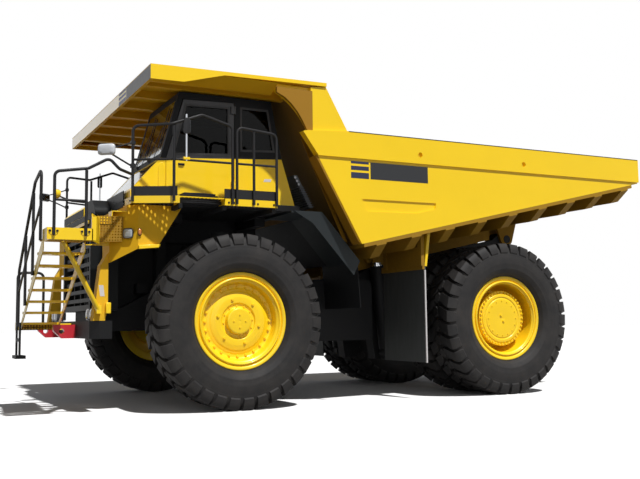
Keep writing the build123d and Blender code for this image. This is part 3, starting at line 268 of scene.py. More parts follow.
def piece(name, shape, material, slot, body="root", smooth=35, bevel=0.0, replaced=()):
    """Makes an object of a shape with its finish, body, eased edges and replaced nodes. Faces that meet
    at less than an angle are shaded as one, doubles are merged and every face is turned outwards. Its slot is
    not used."""
    points, faces = shape
    mesh = bpy.data.meshes.new(name)
    mesh.from_pydata(points.tolist(), [], [tuple(int(i) for i in face) for face in faces])
    mesh.validate()
    mesh.materials.append(material)
    if smooth:
        mesh.shade_smooth()
        mesh.set_sharp_from_angle(angle=radians(smooth))
    work = bmesh.new()
    work.from_mesh(mesh)
    bmesh.ops.remove_doubles(work, verts=work.verts, dist=1e-6)
    bmesh.ops.recalc_face_normals(work, faces=work.faces)
    work.to_mesh(mesh)
    work.free()
    obj = bpy.data.objects.new(name, mesh)
    bpy.context.scene.collection.objects.link(obj)
    if bevel:
        edge = obj.modifiers.new("eased_edges", "BEVEL")
        edge.width = bevel
        edge.segments = 2
        edge.limit_method = "ANGLE"
    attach(obj, body)
    if replaced:
        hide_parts(*replaced)
    return obj


def wheel_pieces(name, shape, material, slot, node, body, smooth=35):
    """A left wheel's piece and its mirror image, each riding its own wheel in place of its own node."""
    for side, made in (("_left", shape), ("_right", mirror_y(shape))):
        piece(name + side, made, material, slot, body + side, smooth, replaced=[node + side])


def wheel_middle(node, y):
    """The point on a rim's axle line at a distance from the truck's middle plane."""
    low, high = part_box(node)
    return np.array([(low[0] + high[0]) / 2, y, (low[2] + high[2]) / 2])


tyre_low, tyre_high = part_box("tyre_front_left")
tyre_r = (tyre_high[2] - tyre_low[2]) / 2
half_width = (tyre_high[1] - tyre_low[1]) / 2
dual_low, dual_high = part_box("tyres_rear_left")
front_middle = wheel_middle("rim_front_left", (tyre_low[1] + tyre_high[1]) / 2)
inner_middle = wheel_middle("rims_rear_left", dual_low[1] + half_width)
outer_middle = wheel_middle("rims_rear_left", dual_high[1] - half_width)

groove = 0.056
lug_count = 34
lug_pitch = 2 * pi / lug_count
# each corner of the wall is (across, depth below the tread)
wall_corners = [(0.0, groove), (0.14, groove), (0.26, groove + 0.004), (0.305, groove + 0.022), (0.335, 0.12),
                (0.356, 0.19), (0.371, 0.27), (0.374, 0.34), (0.366, 0.42), (0.343, 0.49), (0.30, 0.545),
                (0.262, 0.575), (0.236, 0.6), (0.232, 0.655)]
# each mould ring is (radius, height, spread)
mould_rings = [(1.115, 0.004, 0.006), (0.955, 0.005, 0.008), (0.86, 0.006, 0.012), (0.785, 0.008, 0.008)]


def tyre_wall():
    """The carcass as (radius, across): a smooth half with bell-shaped rings on it, and its mirror image."""
    across, radius = smooth_line([(y, tyre_r - depth) for y, depth in wall_corners], 60).T
    for ring, height, spread in mould_rings:
        across = across + height * np.exp(-((radius - ring) / spread) ** 2) * (across > 0.2)
    half = np.stack([radius, across], axis=1)
    return np.concatenate([half, half[:0:-1] * (1, -1)])


def on_tyre(angle, across, radius, middle):
    """Points at an angle round the tyre, a distance across it and a radius, about a wheel's middle."""
    return np.stack([middle[0] + radius * np.sin(angle), middle[1] + across,
                     middle[2] + radius * np.cos(angle)], -1)


def lugs(middle, side):
    """One row of shoulder lugs: a strip follows the tread's outline over the shoulder, wide and flat on top,
    its flanks drawn down to the groove's floor; across gives the outline, skew its slant round the tyre."""
    across = np.array([0.062, 0.10, 0.17, 0.262, 0.318, 0.352, 0.366, 0.3715])
    top = tyre_r - np.array([0.004, 0.0, 0.0, 0.0015, 0.012, 0.052, 0.115, 0.165])
    floor_r = tyre_r - np.array([0.07, 0.07, 0.07, 0.075, 0.09, 0.13, 0.17, 0.2])
    floor_across = np.array([0.055, 0.10, 0.17, 0.255, 0.285, 0.318, 0.342, 0.352])
    wide = np.array([0.036, 0.074, 0.086, 0.0925, 0.0945, 0.094, 0.089, 0.082])
    skew = np.array([-0.115, -0.082, -0.042, 0.0, 0.018, 0.024, 0.026, 0.026])
    share = np.array([-1.12, -0.97, 0.97, 1.12])
    around = skew[:, None] + wide[:, None] * share
    crown = np.stack([floor_across, across, across, floor_across], axis=1)
    height = np.stack([floor_r, top, top, floor_r], axis=1)
    turn = (np.arange(lug_count) + (0.25 if side > 0 else 0.75)) * lug_pitch
    angle = turn[:, None, None] + around / tyre_r
    points = on_tyre(angle, side * crown + 0 * angle, height + 0 * angle, middle)
    rows = len(across)
    end_faces = [(3, 2, 1, 0), range(4 * rows - 4, 4 * rows)]
    underside = [*range(0, 4 * rows, 4), *range(4 * rows - 1, 0, -4)]
    faces = [*grid_faces(rows, 4), *end_faces, underside]
    if side > 0:
        faces = [face[::-1] for face in faces]
    return points.reshape(-1, 3), copied(faces, 4 * rows, lug_count)


def blocks(middle):
    """The middle row: six-sided blocks, narrower at the top than at the groove's floor."""
    corner = np.arange(6) * pi / 3
    around, across = 0.098 * np.cos(corner), 0.079 * np.sin(corner)
    turn = np.arange(lug_count)[:, None] * lug_pitch
    rings = [on_tyre(turn + around * grow / tyre_r, across * grow + 0 * turn, tyre_r - depth + 0 * turn,
                     middle) for grow, depth in ((1.13, 0.07), (0.98, 0.006), (0.93, 0.0))]
    return np.stack(rings, axis=1).reshape(-1, 3), copied(ring_faces(3, 6), 18, lug_count)


def tyre(middle):
    """One whole tyre round a wheel's middle."""
    return join([turned(tyre_wall(), middle, 140), lugs(middle, 1), lugs(middle, -1), blocks(middle)])


# Carbon-black rubber: near black and soft in sheen, greyed by dust in patches 0.3 m across that stays on the
# wall and in the grooves, over a moulded grain drawn 17 mm wide so that it shows.
tyre_rubber, tree, shader, place = new_material("moulded_tyre_rubber")
dust = add(tree, "TexNoise", {"Scale": 3.2, "Detail": 8.0, "Roughness": 0.65}, {"Vector": place})
grain = add(tree, "TexNoise", {"Scale": 60.0, "Detail": 4.0}, {"Vector": place})
veil = add(tree, "MapRange", {"From Min": 0.35, "From Max": 0.75, "To Min": 0.1, "To Max": 0.75},
           {0: dust.outputs[0]}).outputs[0]
black = add(tree, "Mix", {"data_type": "RGBA", 6: linear("#1F1F20"), 7: linear("#3A3735")}, {0: veil})
relief = add(tree, "Bump", {"Strength": 0.35, "Distance": 0.003}, {"Height": grain.outputs[0]})
fill(shader, {"Roughness": 0.62, "Specular IOR Level": 0.18},
     {"Base Color": black.outputs[2], "Normal": relief.outputs[0]})

wheel_pieces("front_tyre", tyre(front_middle), tyre_rubber, "tyre_rubber", "tyre_front", "wheel_front")
wheel_pieces("rear_tyres", join([tyre(inner_middle), tyre(outer_middle)]), tyre_rubber, "tyre_rubber",
             "tyres_rear", "wheels_rear")

# ---- Rims -------------------------------------------------------------------------------------------
# Five-piece rims of rolled steel: a turned flange, a lock ring in its groove and a welded dish, enamelled
# with the hub they are clamped to. The front hub is a domed drum with a cap; the rear is a flat cover.


def hex_bolts(places, axis, radius, height):
    """Hexagon heads on washers at many places, standing along an axis: five rings of twelve corners each."""
    places = np.asarray(places, float)
    axis = np.asarray(axis, float) / np.linalg.norm(axis)
    side = np.cross(axis, (0.36, 0.48, 0.8))
    side /= np.linalg.norm(side)
    over = np.cross(axis, side)
    a = np.arange(12) * pi / 6
    spoke = np.cos(a)[:, None] * side + np.sin(a)[:, None] * over
    washer = np.full(12, 1.35 * radius)
    hexagon = radius / np.cos((a + pi / 6) % (pi / 3) - pi / 6)
    rings = [(washer, -0.4), (washer, 0.18), (hexagon, 0.18), (hexagon, 0.86), (0.86 * hexagon, 1)]
    one = np.concatenate([reach[:, None] * spoke + level * height * axis for reach, level in rings])
    points = (places[:, None] + one).reshape(-1, 3)
    return points, copied(ring_faces(5, 12), 60, len(places))


def bolt_circle(middle, across, radius, count, size, height, start=0.0):
    """Bolts evenly round an axle line, their heads facing outwards."""
    a = start + np.arange(count) * 2 * pi / count
    return hex_bolts(on_tyre(a, across + 0 * a, radius, middle), (0, 1, 0), size, height)


def eased(corners, radius, steps=4):
    """An outline with each corner rounded by a quadratic curve that starts a short way before the corner."""
    p = np.asarray(corners, float)
    ends = []
    for near in (np.roll(p, 1, axis=0), np.roll(p, -1, axis=0)):
        length = np.linalg.norm(near - p, axis=1)[:, None]
        ends.append(p + (near - p) * (np.minimum(radius, 0.45 * length) / length))
    a, b = ends
    t = np.linspace(0, 1, steps)[None, :, None]
    curve = (1 - t) ** 2 * a[:, None] + 2 * t * (1 - t) * p[:, None] + t ** 2 * b[:, None]
    return curve.reshape(-1, 2)


# Gloss yellow enamel, the truck's main colour: a wet-looking coat that shows every swell of the plate.
yellow = "#FDD313"
yellow_enamel = enamel("sprayed_yellow_enamel", yellow)

flange_r = 0.729
# outlines are (radius, across from the tyre's middle); the band runs from the inner flange to the lock ring
band = [(flange_r, -0.27), (flange_r, -0.236), (0.652, -0.234), (0.652, 0.234), (flange_r - 0.004, 0.236),
        (flange_r, 0.262), (flange_r - 0.02, 0.27), (0.672, 0.256), (0.664, 0.232), (0.655, 0.232),
        (0.65, 0.262), (0.624, 0.268), (0.612, 0.244)]
front_dish = [(0.592, 0.232), (0.578, 0.216), (0.56, 0.108), (0.535, 0.096), (0.497, 0.098), (0.478, 0.109),
              (0.455, 0.115), (0.43, 0.132), (0.36, 0.148), (0.27, 0.15), (0.262, 0.124), (0.205, 0.122),
              (0.196, 0.19), (0.176, 0.2), (0.06, 0.203), (0.0, 0.203), (0.0, 0.137), (0.1495, 0.137)]
front_back = [(0.1495, -0.126), (0.42, -0.126), (0.42, 0.03), (0.594, 0.03), (0.594, -0.27)]
front_rim = join([turned(eased(front_back + band + front_dish, 0.012), front_middle, 128),
                  bolt_circle(front_middle, 0.148, 0.335, 6, 0.019, 0.022, 0.3),
                  bolt_circle(front_middle, 0.123, 0.233, 12, 0.011, 0.014, 0.1),
                  bolt_circle(front_middle, 0.098, 0.516, 24, 0.018, 0.026),
                  bolt_circle(front_middle, 0.202, 0.095, 4, 0.01, 0.012)])
# the rear outline takes in the inner tyre's rim too
inner_rim = [(0.212, -0.66), (0.45, -0.66), (0.49, -0.53), (0.59, -0.53), (0.59, -1.11), (flange_r, -1.11),
             (flange_r, -1.076), (0.652, -1.074), (0.652, -0.606), (flange_r, -0.604), (flange_r, -0.57),
             (0.64, -0.57), (0.64, -0.27)]
rear_dish = [(0.592, 0.228), (0.572, -0.3), (0.53, -0.36), (0.455, -0.36), (0.455, 0.085), (0.478, 0.088),
             (0.482, 0.118), (0.475, 0.13), (0.425, 0.132), (0.42, 0.15), (0.37, 0.153), (0.362, 0.142),
             (0.345, 0.142), (0.338, 0.152), (0.0, 0.154), (0.0, -0.2), (0.212, -0.2)]
rear_rim = join([turned(eased(inner_rim + band + rear_dish, 0.01), outer_middle, 128),
                 bolt_circle(outer_middle, 0.128, 0.452, 40, 0.0165, 0.026),
                 bolt_circle(outer_middle, 0.152, 0.3, 16, 0.009, 0.012),
                 bolt_circle(outer_middle, 0.152, 0.055, 2, 0.02, 0.02, 0.5)])
wheel_pieces("front_rim", front_rim, yellow_enamel, "yellow_paint", "rim_front", "wheel_front", smooth=40)
wheel_pieces("rear_rims", rear_rim, yellow_enamel, "yellow_paint", "rims_rear", "wheels_rear", smooth=40)

# ---- Decks and fascia -------------------------------------------------------------------------------
# The decks over the front wheels are folded plate on cross beams and posts, with a walkway of punched plate
# along the outer edge. A yellow fascia is bolted round the edge, and stands off where the door's steps begin.
axle_x = front_middle[0]
deck_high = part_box("decks")[1]
deck_z = (deck_high[2] - 0.1, deck_high[2])
deck_front, deck_rear, fascia_rear, deck_edge = 1.65, -1.06, -0.5, 2.65
corner_x, corner_y = 1.026, 2.365
steps_rear = 0.346
hood_half = 1.057


def prism(outline, axis, low, high):
    """A plate: an outline of two coordinates carried along the third axis, 0, 1 or 2, from low to high."""
    outline = np.asarray(outline, float)
    count = len(outline)
    points = np.zeros((2 * count, 3))
    points[:, [i for i in range(3) if i != axis]] = np.tile(outline, (2, 1))
    points[:count, axis], points[count:, axis] = low, high
    walls = [(i, (i + 1) % count, count + (i + 1) % count, count + i) for i in range(count)]
    return points, [range(count), range(2 * count - 1, count - 1, -1), *walls]


def rectangle(x, y):
    """The four corners between (low, high) pairs."""
    return [(x[0], y[0]), (x[1], y[0]), (x[1], y[1]), (x[0], y[1])]


def block(x, y, z):
    """A straight-edged bar between (low, high) pairs."""
    return prism(rectangle(x, y), 2, *z)


def strip(start, end, z, thickness):
    """A flat bar on edge from one (x, y) to another, as thick to the right of its run as thickness says."""
    start, end = np.asarray(start, float), np.asarray(end, float)
    run = (end - start) / np.linalg.norm(end - start)
    off = thickness * np.array([run[1], -run[0]])
    return prism([start, end, end + off, start + off], 2, *z)


def punched(corners, counts, heights, hole):
    """Punched plate on a four-cornered patch: the patch is a blend of its corners, cut into cells, and each
    cell is a ring from eight points of its square to eight of its hole, above and below, walled between."""
    (a, b, c, d), (across, down) = np.asarray(corners, float), counts
    turn = np.arange(8) * pi / 4
    circle = np.stack([np.cos(turn), np.sin(turn)], axis=1)
    square = np.sign(np.round(circle, 6)) / 2
    hole = hole * circle / (np.linalg.norm(b - a) / across, np.linalg.norm(d - a) / down)
    u0, v0 = (g.ravel()[:, None] for g in np.meshgrid(np.arange(across), np.arange(down), indexing="ij"))
    rings = []
    for ring, height in ((square, heights[1]), (hole, heights[1]), (square, heights[0]), (hole, heights[0])):
        u, v = ((u0 + 0.5 + ring[:, 0]) / across)[..., None], ((v0 + 0.5 + ring[:, 1]) / down)[..., None]
        plan = (1 - u) * (1 - v) * a + u * (1 - v) * b + u * v * c + (1 - u) * v * d
        rings.append(np.concatenate([plan, np.full((*u.shape[:2], 1), height)], axis=2))
    points = np.concatenate(rings, axis=1)
    i = np.arange(8)
    j = (i + 1) % 8
    cell = np.concatenate([np.stack([i, j, 8 + j, 8 + i], 1), np.stack([24 + i, 24 + j, 16 + j, 16 + i], 1),
                           np.stack([8 + i, 8 + j, 24 + j, 24 + i], 1)])
    faces = [cell + 32 * np.arange(across * down)[:, None, None]]
    edges = (((7, 0), u0 == across - 1), ((1, 2), v0 == down - 1), ((3, 4), u0 == 0), ((5, 6), v0 == 0))
    for sides, at_edge in edges:
        k = np.array(sides)
        wall = np.stack([k, 16 + k, 16 + (k + 1) % 8, (k + 1) % 8], 1)
        faces.append(wall + 32 * np.flatnonzero(at_edge)[:, None, None])
    return points.reshape(-1, 3), np.concatenate([f.reshape(-1, 4) for f in faces])


def both_sides(shape):
    """A shape on the left together with its mirror image on the right."""
    return join([shape, mirror_y(shape)])


def fitted(name, shapes, material, slot, body="root", both=False, **details):
    """A piece of several shapes, with x measured ahead of the front axle; both mirrors them to the right."""
    points, faces = both_sides(join(shapes)) if both else join(shapes)
    return piece(name, (points + (axle_x, 0, 0), faces), material, slot, body, **details)


def deck_plate(inner, side):
    """The solid part of one deck, inside its walkway, with a recess for the steps to the cab's door."""
    outline = [(deck_front, inner), (deck_front, side * 2.0), (corner_x, side * 2.26),
               (fascia_rear, side * 2.3), (deck_rear, side * 2.26), (deck_rear, inner)]
    return prism(outline, 2, deck_z[0] + 0.004, deck_z[1])


beam_z = deck_z[0] - 0.15
deck_parts = [deck_plate(0.54, 1), deck_plate(-hood_half, -1)]
deck_parts += [block((x - 0.09, x + 0.09), (-1.5, 1.5), (beam_z, deck_z[0])) for x in (-0.7, 0.7)]
deck_parts += [both_sides(block((x - 0.08, x + 0.08), (0.47, 0.67), (1.78, beam_z))) for x in (-0.7, 0.7)]
deck_parts += [both_sides(block((x - 0.03, x + 0.03), (1.4, 2.6), (deck_z[0] - 0.07, deck_z[0] + 0.002)))
               for x in (-0.46, 0.33, 1.0)]
# The deck plates, beams and posts wear the matt black chassis enamel; seen from below, this black is partly
# painted shade, standing for the deep shade under the decks.
fitted("deck_plates", deck_parts, chassis_enamel, "black_steel", bevel=0.004, replaced=["decks"])
walkway_z = (deck_z[1] - 0.012, deck_z[1])
walkway_edge, walkway_hole = 2.636, 0.019
walkways = [punched([(fascia_rear, 2.3), (corner_x, 2.27), (corner_x, walkway_edge),
                     (fascia_rear, walkway_edge)], (26, 6), walkway_z, walkway_hole),
            punched([(corner_x, 2.27), (1.64, 2.0), (1.64, 2.36), (corner_x, walkway_edge)],
                    (10, 6), walkway_z, walkway_hole)]
fitted("deck_walkways", walkways, yellow_enamel, "yellow_paint", both=True, smooth=0)

fascia_z = (deck_z[0] - 0.005, deck_z[1] - 0.001)
fascia_thick, return_thick = 0.014, 0.012
slant_start, slant_end = np.array((deck_front, corner_y)), np.array((corner_x, deck_edge))
fascia = [strip((deck_front, 1.9), slant_start, fascia_z, -fascia_thick),
          strip(slant_start, slant_end, fascia_z, fascia_thick),
          strip((steps_rear, deck_edge), (fascia_rear, deck_edge), fascia_z, -fascia_thick),
          strip(slant_end, (corner_x, 2.4), fascia_z, -return_thick),
          strip((steps_rear, deck_edge), (steps_rear, 2.4), fascia_z, return_thick)]
fitted("deck_fascia", fascia, yellow_enamel, "yellow_paint", both=True, bevel=0.003)

# Charcoal enamel, satin: rails, brackets and small castings, with a low broad sheen.
charcoal_enamel = enamel("satin_charcoal_enamel", "#18181A", "#45413D", roughness=0.48, coat=0.03,
                         specular=0.2)
refinish(charcoal_enamel, "toe_boards", "deck_rails")
bolt_z = fascia_z[0] + 0.045
slant = slant_end - slant_start
fascia_bolts = [([(x, deck_edge, bolt_z) for x in (0.28, 0.2, -0.1, -0.18, -0.44)], (0, 1, 0)),
                ([(*(slant_start + slant * share), bolt_z) for share in (0.06, 0.82, 0.95)],
                 (slant[1], -slant[0], 0)),
                ([(deck_front, y, bolt_z) for y in (1.95, 2.3)], (1, 0, 0))]
fitted("deck_bolts", [hex_bolts(places, out, 0.012, 0.012) for places, out in fascia_bolts], charcoal_enamel,
       "charcoal", both=True)

# A dark locker of rolled slats, arched on top, fills the stand-off between the two lengths of fascia.
locker_x = 0.686
slat_turn = np.linspace(-1, 1, 11)
slats = []
for z in np.arange(deck_z[0] + 0.02, deck_z[1] + 0.07, 0.026):
    half = 0.34 * np.sqrt(1 - ((z - deck_z[0]) / 0.215) ** 2)
    bulge = np.stack([locker_x + half * slat_turn, 2.53 + 0.05 * np.cos(slat_turn * pi / 2)], axis=1)
    slats.append(prism([*bulge, (locker_x + half, 2.3), (locker_x - half, 2.3)], 2, z, z + 0.018))
    slats.append(block((locker_x + 0.01 - 0.94 * half, locker_x - 0.01 + 0.94 * half), (2.31, 2.5),
                       (z - 0.001, z + 0.027)))
fitted("door_step_locker", slats, charcoal_enamel, "charcoal", both=True)

# Black splash liners close the wheel arches: over the engine, and behind the tyre down to the tank. These
# dark sheets are partly painted shade, standing for the deep shade in the arches.
liners = [both_sides(block((-1.0, 1.5), (0.6, 0.608), (2.62, deck_z[0] + 0.01))),
          prism([(-1.32, 2.985), (-1.332, 2.985), (-1.985, 2.235), (-1.975, 2.23)], 1, -1.4, 1.4),
          both_sides(prism([(-1.99, 2.25), (-1.998, 2.25), (-2.05, 1.5), (-2.04, 1.5)], 1, 1.2, 2.42))]
fitted("splash_liners", liners, chassis_enamel, "black_steel")

# ---- Hood and grille --------------------------------------------------------------------------------
# Folded sheet over the engine. Its nose is closed by satin black sheet under a yellow edge, with one yellow
# rail across it and an air duct beside it; the radiator's grille below is black too.
grille_enamel = enamel("satin_black_grille_enamel", "#0F1112", "#3B3936", roughness=0.55, coat=0.0,
                       specular=0.16)
refinish(grille_enamel, "radiator_grille")
refinish(yellow_enamel, "hood")
nose_x = 1.93
duct = [(0.56, 2.93), (1.2, 2.93), (1.2, 3.06), (0.98, 3.22), (0.56, 3.22)]
nose = [block((nose_x, nose_x + 0.006), (-1.04, 0.53), (deck_z[0] + 0.004, 3.125)),
        prism(eased(duct, 0.09), 0, 1.66, 1.9)]
fitted("hood_nose", nose, grille_enamel, "grille_grey", bevel=0.008)
fitted("hood_nose_rail", [block((nose_x, nose_x + 0.022), (-0.97, 0.97), (2.845, 2.895))], yellow_enamel,
       "yellow_paint", bevel=0.004)

# ---- Fenders and side lamps -------------------------------------------------------------------------
# Pressed fenders end below in a folded lip that catches the sun, and the mudguards behind are blue-grey. Each
# fender's corner carries a side lamp and a marker: pressed steel pots with moulded acrylic lenses.


def overpaint(material, colour, weights, limit):
    """Lays a second colour where |x|, |y| and |z|, each times its weight, add up to more than a limit."""
    tree = material.node_tree
    shader = next(node for node in tree.nodes if node.bl_idname == "ShaderNodeBsdfPrincipled")
    place = add(tree, "TexCoord").outputs["Object"]
    place = add(tree, "VectorMath", {"operation": "ABSOLUTE"}, {0: place}).outputs[0]
    sums = add(tree, "VectorMath", {"operation": "DOT_PRODUCT", 1: weights}, {0: place}).outputs["Value"]
    over = add(tree, "Math", {"operation": "GREATER_THAN", 1: limit}, {0: sums}).outputs[0]
    under = shader.inputs["Base Color"].links[0].from_socket
    both = add(tree, "Mix", {"data_type": "RGBA", 7: linear(colour)}, {0: over, 6: under})
    fill(shader, links={"Base Color": both.outputs[2]})


# Painted shade: yellow enamel darkened to a golden brown stands for the shade on the fenders, their braces
# and the canopy; the plain yellow is painted back on the canopy's outer edges, where they are lit.
painted_shade_enamel = enamel("painted_shade_yellow_enamel", "#E9B60F", "#8A6A3A", roughness=0.62, coat=0.0, dust=0.3)
overpaint(painted_shade_enamel, yellow, (0, 1, 0), 2.73)
refinish(painted_shade_enamel, "fenders", "fender_braces")
# Blue-grey enamel, nearly black: satin, under road dust.
blue_grey_enamel = enamel("blue_grey_enamel", "#1E2325", "#474541", roughness=0.5, coat=0.03, specular=0.2)
refinish(blue_grey_enamel, "mudguards")

lip = prism([(1.515, 2.352), (1.222, 2.38), (1.19, 2.432), (1.515, 2.408)], 1, 2.24, 2.296)
fitted("fender_lips", [lip], yellow_enamel, "yellow_paint", both=True, bevel=0.006)


def rounded(width, height, radius, steps):
    """A rectangle's outline about the origin with quadratic corners."""
    return eased(rectangle((-width / 2, width / 2), (-height / 2, height / 2)), radius, steps)


def stacked(levels, steps=6):
    """A closed form of rounded rectangles stacked outwards: each level is (out, width, height, radius)."""
    rings = [np.insert(rounded(width, height, radius, steps), 2, out, axis=1)
             for out, width, height, radius in levels]
    return np.concatenate(rings), ring_faces(len(levels), 4 * steps)


def placed(shape, origin, along, out):
    """A shape made in (along, up, out) coordinates set at an origin, with up as the truck's own."""
    points, faces = shape
    along = np.array([*along, 0.0]) / np.linalg.norm(along)
    out = np.array([*out, 0.0]) / np.linalg.norm(out)
    return origin + points[:, :1] * along + points[:, 1:2] * (0, 0, 1) + points[:, 2:3] * out, faces


def pot_lamp(width, height, depth, crown):
    """A rectangular lamp: its pot and rim, and a crowned lens, as outlines stacked out from the mounting."""
    pot = [(-0.01, 0.8), (0.6 * depth, 0.96), (depth, 1.0), (depth + 0.006, 0.93), (depth, 0.86)]
    lens = [(depth - 0.012, 0.84), (depth + 0.002, 0.84), (depth + 0.7 * crown, 0.7), (depth + crown, 0.4)]
    return [stacked([(out, width * grow, height * grow, 0.3 * height * grow) for out, grow in levels], 4)
            for levels in (pot, lens)]


def patterned(name, kind, settings, colour, values, rough=None, relief=None, stretch=(1, 1, 1)):
    """A material that one pattern works over, its Scale in cells a metre. The colour lies between two hex
    values by it, or is one alone; it may spread the roughness, and stand up by a strength and a height."""
    material, tree, shader, place = new_material(name)
    place = add(tree, "Mapping", {"Scale": stretch}, {"Vector": place}).outputs[0]
    level = add(tree, kind, settings, {"Vector": place}).outputs[0]
    fill(shader, values)
    if isinstance(colour, str):
        fill(shader, {"Base Color": linear(colour)})
    else:
        low, high = colour
        shade = add(tree, "Mix", {"data_type": "RGBA", 6: linear(low), 7: linear(high)}, {0: level})
        fill(shader, links={"Base Color": shade.outputs[2]})
    if rough:
        spread = add(tree, "MapRange", {"To Min": rough[0], "To Max": rough[1]}, {0: level})
        fill(shader, links={"Roughness": spread.outputs[0]})
    if relief:
        bump = add(tree, "Bump", {"Strength": relief[0], "Distance": relief[1]}, {"Height": level})
        fill(shader, links={"Normal": bump.outputs[0]})
    return material


# Clear acrylic, moulded with ribs 22 mm apart that spread the light: pale, glossy and slightly milky. The
# bands of a wave are 314 mm over its Scale apart.
lamp_acrylic = patterned("clear_ribbed_acrylic", "TexWave", {"Scale": 14.0, "bands_direction": "Z"},
                         "#9FA7AE", {"Roughness": 0.12, "IOR": 1.49, "Coat Weight": 0.6}, relief=(0.5, 0.003))
# Amber acrylic, dyed through and slightly cloudy.
amber_acrylic = patterned("amber_acrylic", "TexNoise", {"Scale": 30.0, "Detail": 2.0}, ("#B8641A", "#D9882A"),
                          {"Roughness": 0.15, "IOR": 1.49})

side_lamp_at = ((1.62, 2.145, 2.585), (1, -1), (1, 1))
marker_at = ((1.498, 2.252, 2.6), (1, 0), (0, 1))
side_pot, side_lens = pot_lamp(0.17, 0.15, 0.035, 0.012)
marker_pot, marker_lens = pot_lamp(0.06, 0.11, 0.02, 0.014)
fitted("side_lamp_pots", [placed(side_pot, *side_lamp_at), placed(marker_pot, *marker_at)], charcoal_enamel,
       "charcoal", both=True)
fitted("side_lamp_lenses", [placed(side_lens, *side_lamp_at)], lamp_acrylic, "lamp_glass", both=True)
fitted("marker_lenses", [placed(marker_lens, *marker_at)], amber_acrylic, "lamp_glass", both=True)

# ---- Headlamps and tow eyes -------------------------------------------------------------------------
# Two rectangular lamps on each side of the bumper: die-cast aluminium bodies with ribbed lenses, each bolted
# to a folded foot. The tow eyes below are forged steel under red enamel.

# Gloss red enamel, faded a little by dust.
red_enamel = enamel("gloss_red_enamel", "#C0202E", "#8E6A5E", roughness=0.38)
refinish(red_enamel, "tow_hooks")
# Die-cast aluminium: a dull pale metal with a fine grain, drawn 11 mm wide so that it shows.
cast_aluminium = patterned("die_cast_aluminium", "TexNoise", {"Scale": 90.0, "Detail": 3.0}, "#A9ABAD",
                           {"Metallic": 0.9}, rough=(0.35, 0.55), relief=(0.3, 0.001))
lamp_body, lamp_lens = pot_lamp(0.205, 0.17, 0.15, 0.02)
lamp_ys = (1.285, 1.545)
foot_low = 1.34
bodies, lenses, feet = [], [], []
for y in lamp_ys:
    lamp_at = ((1.86, y, 1.435), (0, 1), (1, 0))
    bodies.append(placed(lamp_body, *lamp_at))
    lenses.append(placed(lamp_lens, *lamp_at))
    feet.append(block((1.87, 1.99), (y - 0.07, y + 0.07), (foot_low, foot_low + 0.012)))
    feet.append(block((1.885, 1.9), (y - 0.02, y + 0.02), (foot_low, foot_low + 0.03)))
fitted("headlamp_bodies", bodies + feet, cast_aluminium, "charcoal", both=True, replaced=["headlamps"])
fitted("headlamp_lenses", lenses, lamp_acrylic, "lamp_glass", both=True)

# ---- Cab --------------------------------------------------------------------------------------------
# A welded steel cab: yellow below the window sills and dark above, with tinted laminated windows bonded in.
# The door is yellow up to a line that rises to the rear, and charcoal over it.
cab_y = 2.12
refinish(yellow_enamel, "cab_body")
# The cab's frame takes the matt black chassis enamel, darker than the charcoal parts, partly as painted shade
# under the canopy.
refinish(chassis_enamel, "cab_frame")
door_enamel = enamel("two_tone_door_enamel", yellow)
sill_rise = 0.0603
overpaint(door_enamel, "#1E1D20", (sill_rise, 0, 1), 3.8005 + sill_rise * axle_x)
refinish(door_enamel, "cab_door")

# Laminated glass, tinted grey-green: its coating leaves a faint mirror, as if its index were low, and it
# shows a dim cab behind, under grime in patches half a metre across.
tinted_glass = patterned("tinted_laminated_glass", "TexNoise",
                         {"Scale": 2.2, "Detail": 5.0, "Roughness": 0.6}, ("#2E3638", "#394243"),
                         {"Transmission Weight": 1.0, "Roughness": 0.03, "IOR": 1.24})
refinish(tinted_glass, "cab_glass", "door_glass")
# Moulded ABS for the dashboard and steering wheel: a satin leather-like grain, drawn 5.6 mm wide to show.
grained_abs = patterned("grained_black_abs", "TexVoronoi", {"Scale": 180.0}, "#26272A", {},
                        rough=(0.45, 0.65), relief=(0.4, 0.001))
refinish(grained_abs, "cab_controls")
# Extruded EPDM rubber: near black and dull, with a faint bloom in 50 mm clouds.
rubber_seal = patterned("extruded_epdm_rubber", "TexNoise", {"Scale": 20.0, "Detail": 3.0},
                        ("#1C1C1E", "#2B2B2C"), {"Roughness": 0.7})
# Clear glass, highly polished: the screens' outer faces mirror the surround where they are seen aslant.
clear_glass = patterned("polished_clear_glass", "TexNoise", {"Scale": 5.0, "Detail": 3.0},
                        ("#EAF2F6", "#DDE8EE"), {"Transmission Weight": 1.0, "Roughness": 0.04, "IOR": 1.7})
# White vinyl, printed with nothing: satin, with 33 mm clouds of wear.
blank_plate = patterned("blank_white_vinyl_plate", "TexNoise", {"Scale": 30.0, "Detail": 4.0},
                        ("#D9D6D6", "#BFBAB8"), {"Roughness": 0.45})


def tube(path, radius, sides=12):
    """A round tube: a circle carried along a path, square to it at each of its points, with flat ends."""
    path = np.asarray(path, float)
    along = np.gradient(path, axis=0)
    along /= np.linalg.norm(along, axis=1)[:, None]
    seed = np.eye(3)[np.argmin(np.abs(along).sum(axis=0))]
    side = np.cross(along, seed)
    side /= np.linalg.norm(side, axis=1)[:, None]
    over = np.cross(along, side)
    a = (np.arange(sides) * 2 * pi / sides)[:, None]
    points = path[:, None] + radius * (np.cos(a) * side[:, None] + np.sin(a) * over[:, None])
    return points.reshape(-1, 3), ring_faces(len(path), sides)


def seal(outline, y, out, width=0.026):
    """A rubber seal round a window: its outline and a smaller copy joined into a thin frame."""
    outline = np.asarray(outline, float)
    middle = outline.mean(axis=0)
    inner = middle + (outline - middle) * (1 - 2 * width / np.ptp(outline, axis=0))
    outer = middle + (outline - middle) * (1 + 0.6 * width / np.ptp(outline, axis=0))
    rings = [np.insert(ring, 1, at, axis=1)
             for ring, at in ((outer, y), (outer, y + out), (inner, y + out), (inner, y))]
    return np.concatenate(rings), grid_faces(4, len(outline), True, True)


